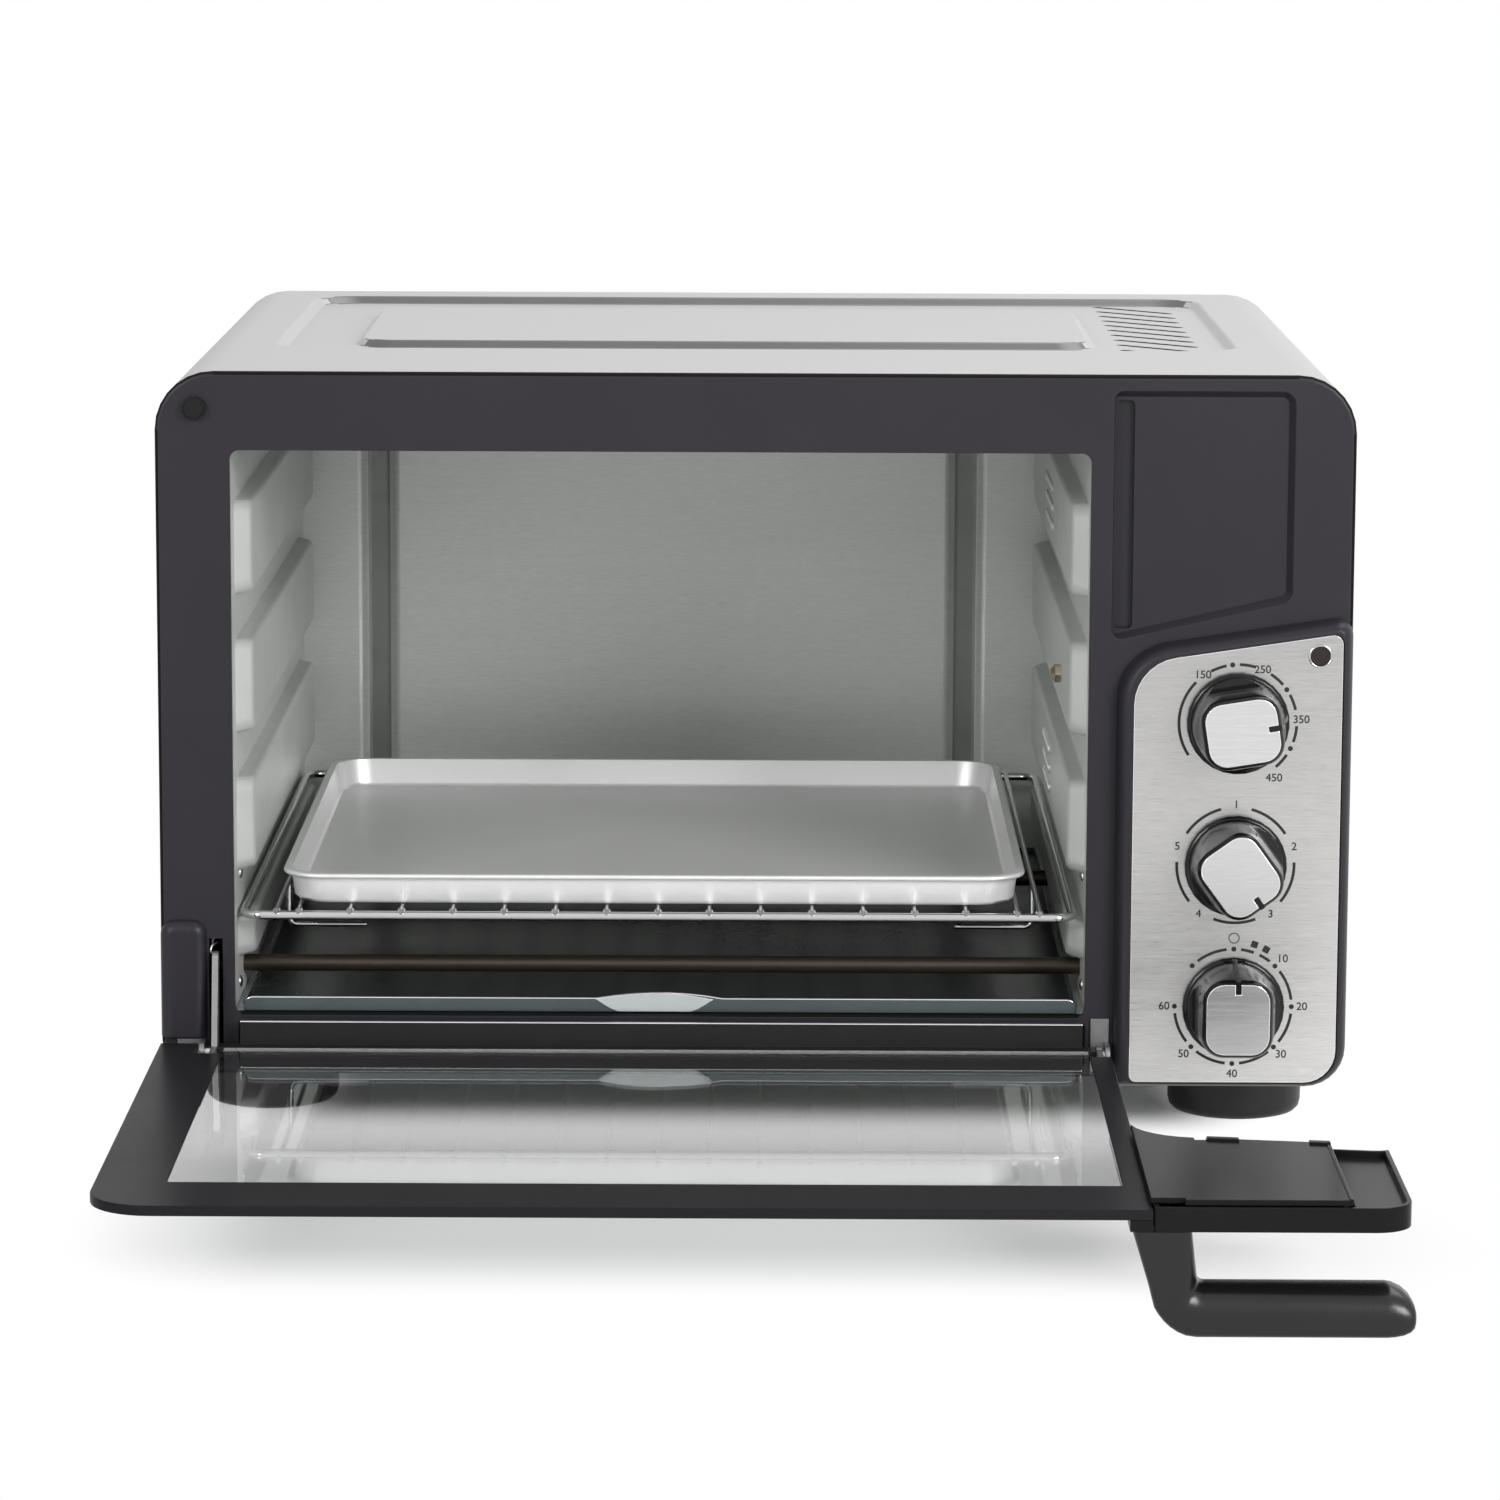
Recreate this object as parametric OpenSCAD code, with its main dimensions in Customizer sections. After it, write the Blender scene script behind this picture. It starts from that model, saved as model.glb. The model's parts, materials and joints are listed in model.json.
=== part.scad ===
// Countertop air fryer toaster oven with a drop-down door, stored with the door open.
// The front face of the frame is the reference plane in depth, the body's lower edge the one in height.

/* [Body] */
// Width over the outer shell
body_w = 490; // [480:1:520]
// Height from the lower edge to the top
body_h = 295; // [290:1:310]
// Depth from the front face to the back of the rear panel
body_d = 385; // [375:1:410]
// Radius of the two upper corners
top_r = 24; // [18:1:30]
// Radius of the two lower corners
bottom_r = 17; // [12:1:20]
// Sheet thickness of the outer shell
shell_t = 1; // [0.8:0.1:1.4]
// Sheet thickness of the rear panel
rear_t = 1.2; // [1:0.1:1.6]
// Height of the feet
foot_h = 33; // [33:1:45]
// Diameter of the feet
foot_d = 58; // [48:1:60]
// Distance of the foot centres from the body's sides
foot_inset = 37; // [35:1:50]
// Depth of the front foot centres behind the front face
foot_front_y = 104; // [80:1:130]
// Depth of the rear foot centres behind the front face
foot_rear_y = 320; // [290:1:335]

/* [Top] */
// Depth of the sunken field in the top
field_depth = 3.4; // [2.5:0.1:4.5]
// Margin of the sunken field at both sides
field_side = 40; // [34:1:46]
// Margin of the sunken field at the front
field_front = 105; // [90:1:115]
// Margin of the sunken field at the back
field_back = 27; // [20:1:35]
// Number of slanted vents in the top
vent_count = 10; // [6:1:11]
// Width of a vent
vent_w = 4; // [3:0.2:5]

/* [Front frame] */
// Thickness of the frame's face
frame_t = 2.5; // [2.2:0.1:3.5]
// Rounding of the frame's outer edge
edge_r = 2; // [1.2:0.1:2.2]
// Width of the frame left of the opening
left_border = 30.5; // [28:0.5:34]
// Width of the control column right of the opening
control_w = 108; // [104:0.5:114]
// Height of the opening
opening_h = 234.8; // [225:0.1:238]
// Height of the sill below the opening
sill_h = 28; // [27:0.5:32]
// Corner radius of the opening
opening_r = 4; // [2:0.5:6]
// Depth of the recess above the control housing
recess_depth = 3.5; // [2.5:0.1:4.5]

/* [Control panel] */
// Gap between the opening and the control housing
panel_gap = 11.5; // [10.5:0.5:14]
// Height of the control housing at its right side
panel_h = 197; // [190:1:202]
// Rise of the control housing's top edge in degrees
panel_slant = 8.5; // [6:0.5:10]
// How far the control housing stands out
panel_out = 9.4; // [8.8:0.1:11]
// Width of the rounded rim
rim_r = 5; // [4:0.1:5.4]
// Thickness of the steel plate
plate_t = 1.2; // [1:0.1:1.5]
// How far the knob axes lie left of the body's right side
knob_inset = 47.3; // [46:0.1:50]
// Height of the lowest knob
knob_low = 35; // [33:0.5:38]
// Distance between two knobs
knob_pitch = 59.2; // [54:0.2:61]
// Diameter of a knob
knob_d = 42; // [38:0.5:44]
// Length of a knob
knob_len = 26.8; // [25.5:0.1:30]
// Diameter of the control shafts
shaft_d = 6; // [5:0.5:7]

/* [Door] */
// Gap between the closed door and the frame's face
door_gap = 5; // [5:0.1:6]
// Thickness of the door glass
glass_t = 4; // [3.6:0.1:4.4]
// How far the closed door ends below the body's top
door_drop = 4.5; // [3:0.5:8]
// Height of the hinge axis above the body's lower edge
hinge_h = 14; // [13:0.5:15]
// Depth of the hinge axis in front of the closed door's inner face
hinge_in = 3; // [2.8:0.1:3.4]
// Diameter of the hinge pins
pin_d = 4; // [3:0.1:4.4]
// Gap between the wing and the control housing
wing_gap = 2.5; // [2:0.1:4]
// Thickness of the wing over its flat part
wing_t = 8.4; // [7.6:0.1:9]
// Distance from the wing's face to the handle's far side
handle_reach = 40; // [36:0.5:41]
// Thickness of the handle's bar
handle_t = 18.5; // [16:0.5:21]

/* [Inside] */
// Sheet thickness of the cavity walls
wall_t = 0.8; // [0.6:0.1:1]
// Height of the lowest pair of rack ledges
ledge_low = 65.5; // [64:0.5:72]
// Distance between two rack ledges
ledge_pitch = 58; // [54:0.5:60]
// Height of the groove that takes the rack
groove_h = 18; // [14:0.5:22]
// How far the pressed pads stand into the cavity
pad_out = 7; // [6:0.1:8]
// Rise of the ceiling above the opening
ceiling_rise = 18.2; // [16:0.2:19]
// Diameter of the heater rods
heater_d = 7.2; // [6:0.2:8]
// Radius of the fan
fan_r = 40; // [34:1:42]

/* [Rack, pan and tray] */
// Wire diameter of the rack's frame
rack_wire = 3.8; // [2.6:0.1:4]
// Wire diameter of the rack's bars
bar_wire = 2.2; // [1.8:0.1:3]
// Number of bars across the rack
bar_count = 17; // [9:2:19]
// Depth of the rack
rack_d = 354; // [330:1:358]
// How much narrower the baking pan is than the opening
pan_less = 41.5; // [36:0.5:60]
// Depth of the baking pan
pan_d = 294; // [270:1:310]
// Height of the baking pan
pan_h = 13; // [10:0.5:20]
// Height of the crumb tray's front lip
tray_lip = 6; // [5:0.5:7]

/* [Hidden] */
$fn = 48;
corner_steps = 7;
cut = 0.5;
touch = 0.02;
run_gap = 0.05;
seat_gap = 0.3;
sheet_gap = 0.2;
hw = body_w / 2;

// Front-back placing: the box of the whole oven with its door open is centred on the origin.
spacer_out = 4;
spacer_r = 8;
hinge_y = -(door_gap + hinge_in);
hinge_z = hinge_h;
door_top = body_h - door_drop;
door_reach = -hinge_y + door_top - hinge_z;
front_y = (door_reach - body_d - spacer_out) / 2;
rear_y = body_d - rear_t;

// Opening and cavity
wall_set = 0.5;
opening_left = -hw + left_border;
opening_right = hw - control_w;
opening_top = sill_h + opening_h;
cavity_left = opening_left - wall_set;
cavity_right = opening_right + wall_set;
floor_z = sill_h + sheet_gap;
ceiling_z = opening_top + ceiling_rise;
cavity_x = (opening_left + opening_right) / 2;

// Control housing
panel_left = opening_right + panel_gap;
panel_slope = tan(panel_slant);
panel_r = 24;
panel_top_r = 7;
plate_out = panel_out - 1.2;
plate_left = panel_left + 6.5;
plate_right = hw - 4.5;
plate_low = 2.8;
plate_top = panel_h - 6.5;
plate_r = 20;
plate_top_r = 4;
pocket_gap = 0.3;
web_t = 2.4;
web_y = -plate_out + plate_t + web_t;
knob_x = hw - knob_inset;
knob_z = [for (i = [0:2]) knob_low + i * knob_pitch];
lamp_x = hw - 14;
lamp_z = plate_top - 9.5;
lamp_r = 4;
shaft_r = shaft_d / 2;
bush_r = shaft_r + 1.2;
bush_gap = 0.2;
temp_rest = 81;
mode_rest = 144;
timer_rest = 0;

// Left hinge bump, hinge slot and bumper
bump_w = 19;
bump_low = 19;
bump_top = 68;
bump_out = 4;
bump_r = 5;
bump_hidden = 8;
slot_left = opening_left - 10.5;
slot_right = opening_left - 5;
slot_low = 5.5;
slot_top = 60;
bumper_x = -hw + 16.4;
bumper_z = body_h - 15;
bumper_r = 4.7;
bumper_hole_r = 2.5;

// Recess above the control housing
recess_left = panel_left - 2.5;
recess_right = hw - 25;
recess_top = body_h - 6.5;
recess_low_left = panel_h - 11.5;
recess_low_right = panel_h + 5;
recess_r = 5.5;
recess_slope = 2.6;
recess_left_slope = 0.4;
groove_w = 8.6;
groove_depth = 3;
wall_back = 2;

// Door, hinge and wing
arm_t = 2.5;
ear_t = 2;
eye_r = 4.5;
left_arm_x = opening_left - 9;
left_ear_x = left_arm_x - 5;
right_arm_x = opening_right + 4.5;
right_ear_x = right_arm_x + 3.7;
arm_top = hinge_z + 16;
horn_reach = 38;
horn_drop = 7;
horn_r = 3;
rail_low = hinge_z - 3;
rail_top = hinge_z + 5.5;
rail_lip = 8;
rail_lip_t = 1.2;
rise = 9.8;
rise_t = 2;
rise_left = opening_left + 2.5;
rise_right = opening_right - 1;
pocket_room = 1.2;
pocket_low = rail_low - pocket_room;
pocket_top = hinge_z + 11.3;
pocket_depth = rise - door_gap + pocket_room;
glass_right = panel_left - 1.5;
glass_low = hinge_z - 2.8;
glass_in = -door_gap;
glass_out = -door_gap - glass_t;
wing_left = glass_right + 0.4;
wing_right = hw - 2;
wing_r = 14;
wing_wall = 2;
wing_out = -door_gap - wing_t;
wing_skin = wing_out + 2.2;
wing_edge = -door_gap + 1;
wing_deck = -door_gap - 1.5;
wing_tab = 8.5;
wing_plate_left = glass_right - 0.7;
wing_plate_right = hw - 24.5;
wing_plate_top = door_top - 2.2;
wing_plate_y = -door_gap + 3.4;
wing_plate_t = 2.2;
clip_h = 0.9;
clip_edge = 0.6;
clip_d = 4.5;
clip_x = [[panel_left + 25.3, panel_left + 37.5], [wing_plate_right - 8, wing_plate_right]];
ridge_w = 1.6;
notch_x = panel_left + 20.7;
notch_w = 4.4;
rib_t = 1.5;

// Cavity fittings
pad_front = 22;
pad_rear = rear_y - 19;
pad_slope = 8;
pad_side = 1;
pad_r = 6;
pad_steps = 4;
pad_count = 4;
first_pad_h = 18.5;
heater_r = heater_d / 2;
heater_gap = 0.6;
lower_heater_z = sill_h + 12;
upper_heater_z = ceiling_z - 9;
lower_heater_y = [50, 250];
upper_heater_y = [80, 290];
insulator_r = 7;
insulator_t = 6;
heater_out = 10;
fan_y = 200;
fan_z = ledge_low + 1.5 * ledge_pitch + 11;
fan_shaft_r = 3;
fan_box = 2 * (fan_r + 10);
fan_box_t = 0.8;
fan_box_d = 26;
fan_x = cavity_right + wall_t;
motor_r = 26;
motor_len = 34;

// Rack, pan and tray
rack_r = rack_wire / 2;
bar_r = bar_wire / 2;
rack_side_gap = 2;
rack_aside = 1;
rack_left = cavity_left + rack_side_gap - rack_aside;
rack_right = cavity_right - rack_side_gap - rack_aside;
rack_front = 11;
rack_z = ledge_low + sheet_gap + rack_r;
rack_corner = 8;
weld = 0.8;
bar_z = rack_z + rack_r + bar_r - weld;
bar_edge = 14;
end_bar_gap = 9.2;
hook_w = 33;
hook_drop = 16.5;
hook_bend = 4;
hook_in = 65;
hook_r = 1.1;
pan_z = bar_z + bar_r + seat_gap;
pan_front = rack_front + 6;
pan_w = opening_right - opening_left - pan_less;
pan_t = 0.8;
pan_r = 18;
pan_draft = 1.4;
pan_rim = 3;
pan_rim_r = 1.1;
tray_gap = 3;
tray_t = 0.8;
tray_left = opening_left + tray_gap;
tray_right = opening_right - tray_gap;
tray_front = 6;
tray_rear = rear_y - 10;
tray_z = floor_z + seat_gap;
pull_w = 52;
pull_h = 2.4;

// Base and back
foot_x = hw - foot_inset;
base_t = 1;
base_z = shell_t;
base_half = hw - bottom_r - 2;
lip_in = hw - bottom_r - 6;
skirt_y = 12;
skirt_t = 2;
screw_r = 1.5;
head_r = 3.2;
head_t = 1.6;
foot_screw_r = 2;
bush_x = hw - 45;
bush_z = 42;
cord_r = 4;
rib_w = 20;
rib_out = 3.4;
rib_side = 4;
rib_x = [opening_left + 35.5, opening_right - 37.5];

// Unit vector of v
function unit(v) = v / norm(v);

// Points of the arc that rounds one corner of an outline
function corner_arc(before, corner, after, radius, steps) =
    let (
        u = unit(before - corner),
        w = unit(after - corner),
        half = acos(u * w) / 2,
        centre = corner + unit(u + w) * radius / sin(half),
        start = corner + u * radius / tan(half) - centre,
        finish = corner + w * radius / tan(half) - centre,
        first = atan2(start.y, start.x),
        turn = (atan2(finish.y, finish.x) - first + 540) % 360 - 180
    )
    [for (i = [0:steps]) centre + radius * [cos(first + turn * i / steps), sin(first + turn * i / steps)]];

// Outline with every corner rounded by its own radius
function rounded(corners, radii, steps = corner_steps) =
    let (n = len(corners))
    [for (i = [0:n - 1])
        each corner_arc(corners[(i + n - 1) % n], corners[i], corners[(i + 1) % n], max(radii[i], 0.05), steps)];

// Rounded rectangle from two opposite corners
function box_points(low, high, r, steps = corner_steps) =
    rounded([low, [high.x, low.y], high, [low.x, high.y]], [r, r, r, r], steps);

// Rounded rectangle about the origin
function centred_points(w, h, r) = box_points([-w / 2, -h / 2], [w / 2, h / 2], r);

// An outline stood upright at depth y, sideways at x, or level at z
function at_y(points, y) = [for (p = points) [p.x, y, p.y]];
function at_x(points, x) = [for (p = points) [x, p.x, p.y]];
function at_z(points, z) = [for (p = points) [p.x, p.y, z]];

// Area vector of a ring of points
function ring_normal(ring) =
    let (n = len(ring), parts = [for (i = [0:n - 1]) cross(ring[i] - ring[0], ring[(i + 1) % n] - ring[0])])
    [for (axis = [0:2]) [for (p = parts) p[axis]] * [for (p = parts) 1]];

// Closed body through a row of rings with equal numbers of points
module loft(rings) {
    n = len(rings[0]);
    last = len(rings) - 1;
    ahead = ring_normal(rings[0]) * (rings[last][0] - rings[0][0]) > 0;
    sides = [for (i = [0:last - 1]) for (j = [0:n - 1])
        let (a = i * n + j, b = i * n + (j + 1) % n)
        each [[a, a + n, b + n], [a, b + n, b]]];
    caps = [[for (j = [0:n - 1]) j], [for (j = [n - 1:-1:0]) last * n + j]];
    faces = concat(sides, caps);
    polyhedron([for (ring = rings) each ring],
        ahead ? faces : [for (f = faces) [for (i = [len(f) - 1:-1:0]) f[i]]]);
}

// Extrude an outline drawn in width and height from depth y0 to y1
module upright(y0, y1) {
    translate([0, y1, 0]) rotate([90, 0, 0]) linear_extrude(y1 - y0) children();
}

// Extrude an outline drawn in depth and height from x0 to x1
module sideways(x0, x1) {
    translate([x0, 0, 0]) rotate([90, 0, 90]) linear_extrude(x1 - x0) children();
}

// Round rods along the three axes
module rod_x(x0, x1, y, z, r) {
    translate([x0, y, z]) rotate([0, 90, 0]) cylinder(r = r, h = x1 - x0);
}

module rod_y(x, y0, y1, z, r) {
    translate([x, y0, z]) rotate([-90, 0, 0]) cylinder(r = r, h = y1 - y0);
}

module rod_z(x, y, z0, z1, r) {
    translate([x, y, z0]) cylinder(r = r, h = z1 - z0);
}

// Body coordinates to the part's own frame
module place() {
    translate([0, front_y, foot_h]) children();
}

// Swing a piece that is drawn with the door closed to the open door
module opened() {
    place() translate([0, hinge_y, hinge_z]) rotate([90, 0, 0]) translate([0, -hinge_y, -hinge_z]) children();
}

// Outline of the body seen from the front, drawn in by an inset
function frame_points(inset) = rounded(
    [[-hw + inset, inset], [hw - inset, inset], [hw - inset, body_h - inset], [-hw + inset, body_h - inset]],
    [bottom_r - inset, bottom_r - inset, top_r - inset, top_r - inset]);

// Outline of the control housing, grown by a margin
function panel_points(grow) = rounded(
    [[panel_left - grow, -grow], [hw + grow, -grow],
     [hw + grow, panel_h + grow / cos(panel_slant) + grow * panel_slope],
     [panel_left - grow, panel_h - (hw - panel_left) * panel_slope + grow / cos(panel_slant) - grow * panel_slope]],
    [3 + max(grow, -2), bottom_r + grow, panel_top_r + max(grow, -5), panel_r + grow]);

// Outline of the steel plate, grown by a margin
function plate_points(grow) = rounded(
    [[plate_left - grow, plate_low - grow], [plate_right + grow, plate_low - grow],
     [plate_right + grow, plate_top + grow],
     [plate_left - grow, plate_top - (plate_right - plate_left) * panel_slope + grow]],
    [3 + grow, bottom_r - 3.5 + grow, plate_top_r + grow, plate_r + grow]);

// Outline of the recess above the control housing, grown by a margin and by another one at its left side
function recess_points(grow, left) = rounded(
    [[recess_left - left, recess_low_left - grow], [recess_right + grow, recess_low_right - grow],
     [recess_right + grow, recess_top + grow], [recess_left - left, recess_top + grow]],
    [4 + grow, recess_r + grow, recess_r + grow, 4 + grow]);

// Outline of the hinge bump before its lower end is cut off, drawn in by an inset
function bump_points(inset) =
    box_points([-hw + inset, bump_low - bump_hidden + inset], [-hw + bump_w - inset, bump_top - inset], 6 - inset);

quarter = [0:18:90];

module frame_face() {
    loft(concat(
        [for (a = quarter) at_y(frame_points(edge_r * (1 - sin(a))), edge_r * (1 - cos(a)))],
        [at_y(frame_points(0), frame_t)]));
}

module control_housing() {
    loft(concat(
        [at_y(panel_points(0), frame_t)],
        [for (a = quarter) at_y(panel_points(-rim_r * (1 - cos(a))), -panel_out * sin(a))]));
}

module hinge_bump() intersection() {
    loft(concat(
        [at_y(bump_points(0), frame_t)],
        [for (a = quarter) at_y(bump_points(bump_r * (1 - cos(a))), -bump_out * sin(a))]));
    translate([-hw - cut, -bump_out - cut, bump_low])
        cube([bump_w + 2 * cut, bump_out + frame_t + 2 * cut, bump_top]);
}

// Pocket in the sill that takes the door rail's upstand, grown by a margin
module sill_pocket(grow) {
    polygon(box_points([rise_left - pocket_room - grow, pocket_low - grow],
        [rise_right + pocket_room + grow, pocket_top + grow], 1 + grow));
}

module front_frame() place() color([0.2, 0.2, 0.21]) difference() {
    union() {
        frame_face();
        control_housing();
        hinge_bump();
        upright(frame_t - touch, skirt_y) difference() {
            polygon(frame_points(shell_t + sheet_gap));
            polygon(frame_points(shell_t + sheet_gap + skirt_t));
        }
        upright(frame_t - touch, recess_depth + wall_back) polygon(recess_points(wall_back, wall_back));
        upright(frame_t - touch, pocket_depth + wall_back) sill_pocket(wall_back);
        upright(frame_t - touch, recess_depth + groove_depth + wall_back)
            polygon(box_points([recess_left - wall_back, recess_low_left + 2],
                [recess_left + groove_w + wall_back, recess_top - 1], 3));
    }
    upright(-cut, skirt_y) polygon(box_points([opening_left, sill_h], [opening_right, opening_top], opening_r));
    upright(-cut, pocket_depth) sill_pocket(0);
    loft([at_y(recess_points(cut * recess_slope / recess_depth, cut * recess_left_slope / recess_depth), -cut),
        at_y(recess_points(-recess_slope, -recess_left_slope), recess_depth)]);
    upright(0, recess_depth + groove_depth)
        polygon(box_points([recess_left + 0.8, recess_low_left + 5], [recess_left + groove_w, recess_top - 4], 2));
    upright(web_y, frame_t + cut) polygon(panel_points(-4.5));
    upright(-panel_out - cut, -plate_out + plate_t) polygon(plate_points(pocket_gap));
    for (z = knob_z) rod_y(knob_x, -panel_out, frame_t, z, bush_r + bush_gap);
    rod_y(lamp_x, -panel_out, frame_t, lamp_z, lamp_r + bush_gap);
    upright(-panel_out, skirt_y) translate([slot_left, slot_low])
        square([slot_right - slot_left, slot_top - slot_low]);
    rod_y(bumper_x, -cut, frame_t + cut, bumper_z, bumper_hole_r);
}

module control_plate() place() color([0.78, 0.77, 0.75]) difference() {
    upright(-plate_out, -plate_out + plate_t) polygon(plate_points(0));
    for (z = knob_z) rod_y(knob_x, -panel_out, frame_t, z, bush_r + bush_gap);
    rod_y(lamp_x, -panel_out, frame_t, lamp_z, lamp_r + bush_gap);
}

module indicator_lens() place() color([0.25, 0.02, 0.02]) union() {
    rod_y(lamp_x, -plate_out + 0.4, web_y + 6, lamp_z, lamp_r);
    rod_y(lamp_x, web_y, web_y + 1.5, lamp_z, lamp_r + 1.6);
}

module door_bumper() place() color([0.08, 0.08, 0.08]) union() {
    rod_y(bumper_x, -door_gap + 1.4, 0, bumper_z, bumper_r);
    rod_y(bumper_x, -door_gap + seat_gap, 0, bumper_z, bumper_r - 1);
    rod_y(bumper_x, -touch, frame_t + 1, bumper_z, bumper_hole_r);
    rod_y(bumper_x, frame_t, frame_t + 2, bumper_z, bumper_hole_r + 0.8);
}

// Solid block with sloping sides that presses a sheet in or out
module press(low, high, r, slope_x, slope_y, z0, z1) {
    loft([at_z(box_points(low, high, r), z0),
        at_z(box_points(low + [slope_x, slope_y], high - [slope_x, slope_y], r - min(slope_x, slope_y) / 2), z1)]);
}

field_low = [-hw + field_side, field_front];
field_high = [hw - field_side, body_d - field_back];
field_r = 20;
field_slope = 3;
raise_low = field_low + [32, 33];
raise_high = field_high - [59, 58];
raise_r = 16;
field_z = body_h - field_depth;
vent_len = 48;
vent_x = raise_high.x + 28;
vent_first = field_low.y + 22;
vent_pitch = (field_high.y - field_low.y - 44) / (vent_count - 1);

module outer_shell() place() color([0.62, 0.62, 0.62]) difference() {
    union() {
        difference() {
            union() {
                upright(frame_t, rear_y) difference() {
                    polygon(frame_points(0));
                    polygon(frame_points(shell_t));
                    translate([-lip_in, -cut]) square([2 * lip_in, bottom_r]);
                }
                upright(rear_y - shell_t, rear_y) difference() {
                    polygon(frame_points(0));
                    polygon(frame_points(12));
                    translate([-hw, -cut]) square([body_w, 40]);
                }
                press(field_low - [shell_t, shell_t], field_high + [shell_t, shell_t], field_r, field_slope, field_slope,
                    body_h - shell_t / 2, field_z - shell_t);
            }
            press(field_low, field_high, field_r, field_slope, field_slope, body_h + touch, field_z);
        }
        press(raise_low, raise_high, raise_r, field_slope, field_slope, field_z - touch, body_h - touch);
    }
    press(raise_low + [shell_t, shell_t], raise_high - [shell_t, shell_t], raise_r, field_slope, field_slope,
        field_z - shell_t - touch, body_h - shell_t);
    for (i = [0:vent_count - 1])
        translate([vent_x, vent_first + i * vent_pitch, field_z - shell_t - cut]) rotate([0, 0, -45])
            linear_extrude(shell_t + 2 * cut) polygon(centred_points(vent_len, vent_w, vent_w / 2 - 0.1));
    for (p = rear_screw_places) rod_y(p.x, rear_y - shell_t - cut, rear_y + cut, p.y, screw_r);
}

rear_screw_places = concat(
    [for (x = [-0.7, 0, 0.7]) [x * hw, body_h - 7]],
    [for (side = [-1, 1]) for (share = [0.25, 0.7]) [side * (hw - 7), share * body_h]]);

rear_vent_w = 44;
rear_vent_h = 3;
rear_vent_pitch = 9;
rear_vent_x = (cavity_right + hw) / 2;
rear_vent_low = 150;
rear_vent_count = 10;

// Outline of a pressed rib of the rear panel, drawn in by an inset
function rib_points(x, inset) = box_points([x - rib_w / 2 + inset, floor_z + 12 + inset],
    [x + rib_w / 2 - inset, ceiling_z - 12 - inset], 0.8 * (rib_w / 2 - inset));

module rear_panel() place() color([0.6, 0.61, 0.61]) difference() {
    union() {
        upright(rear_y, body_d) polygon(frame_points(0));
        for (x = rib_x)
            loft([at_y(rib_points(x, 0), body_d - touch), at_y(rib_points(x, rib_side), body_d + rib_out)]);
    }
    for (x = rib_x) loft([at_y(rib_points(x, rear_t), rear_y - touch),
        at_y(rib_points(x, rib_side + rear_t), body_d + rib_out - rear_t)]);
    for (i = [0:rear_vent_count - 1]) upright(rear_y - cut, body_d + cut)
        translate([rear_vent_x, rear_vent_low + i * rear_vent_pitch])
            polygon(centred_points(rear_vent_w, rear_vent_h, rear_vent_h / 2 - 0.1));
    for (p = rear_screw_places) rod_y(p.x, rear_y - cut, body_d + cut, p.y, screw_r);
    for (p = spacer_places) rod_y(p.x, rear_y - cut, body_d + cut, p.y, screw_r);
    rod_y(bush_x, rear_y - cut, body_d + cut, bush_z, cord_r + 2.5);
}

spacer_places = [for (side = [-1, 1]) [side * 0.6 * hw, 0.82 * body_h]];

module rear_spacers() place() color([0.1, 0.1, 0.1]) for (p = spacer_places) union() {
    rod_y(p.x, body_d, body_d + spacer_out, p.y, spacer_r);
    rod_y(p.x, rear_y - 3, body_d + touch, p.y, screw_r);
}

module rear_screws() place() color([0.7, 0.7, 0.7]) for (p = rear_screw_places) union() {
    rod_y(p.x, body_d, body_d + head_t, p.y, head_r);
    rod_y(p.x, rear_y - 6, body_d + touch, p.y, screw_r);
}

module cord_bush() place() color([0.1, 0.1, 0.1]) difference() {
    union() {
        rod_y(bush_x, body_d, body_d + 3, bush_z, cord_r + 5);
        rod_y(bush_x, rear_y - 8, body_d + touch, bush_z, cord_r + 2.5);
        rod_y(bush_x, rear_y - 3, rear_y, bush_z, cord_r + 4);
    }
    rod_y(bush_x, rear_y - 9, body_d + 4, bush_z, cord_r);
}

foot_places = [[-foot_x, foot_front_y], [foot_x, foot_front_y], [-foot_x, foot_rear_y], [foot_x, foot_rear_y]];
base_slot_len = 60;
base_slot_pitch = 14;

module base_plate() place() color([0.55, 0.55, 0.55]) difference() {
    translate([-base_half, skirt_y + cut, base_z])
        cube([2 * base_half, rear_y - shell_t - skirt_y - 2 * cut, base_t]);
    for (p = foot_places) rod_z(p.x, p.y, base_z - cut, base_z + base_t + cut, foot_screw_r);
    for (i = [-4:4]) translate([0, (foot_front_y + foot_rear_y) / 2 + i * base_slot_pitch, base_z - cut])
        linear_extrude(base_t + 2 * cut) polygon(centred_points(base_slot_len, 5, 2.4));
}

// Turned foot with a boss that meets the base plate and a recess for its screw
module foot(p) place() color([0.09, 0.09, 0.09]) translate([p.x, p.y, -foot_h]) rotate_extrude() polygon([
    [foot_screw_r, 16], [7, 16], [7, 0], [foot_d / 2 - 5, 0], [foot_d / 2 - 2.6, 0.7], [foot_d / 2 - 1, 2.4],
    [foot_d / 2 - 0.4, 5], [foot_d / 2, foot_h], [11, foot_h], [11, foot_h + base_z],
    [foot_screw_r, foot_h + base_z]]);

module foot_front_left() foot(foot_places[0]);
module foot_front_right() foot(foot_places[1]);
module foot_rear_left() foot(foot_places[2]);
module foot_rear_right() foot(foot_places[3]);

module foot_screws() place() color([0.7, 0.7, 0.7]) for (p = foot_places) union() {
    rod_z(p.x, p.y, -foot_h + 16 - 2.6, -foot_h + 16, 4.4);
    rod_z(p.x, p.y, -foot_h + 16 - touch, base_z + base_t + 4, foot_screw_r);
}

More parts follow.
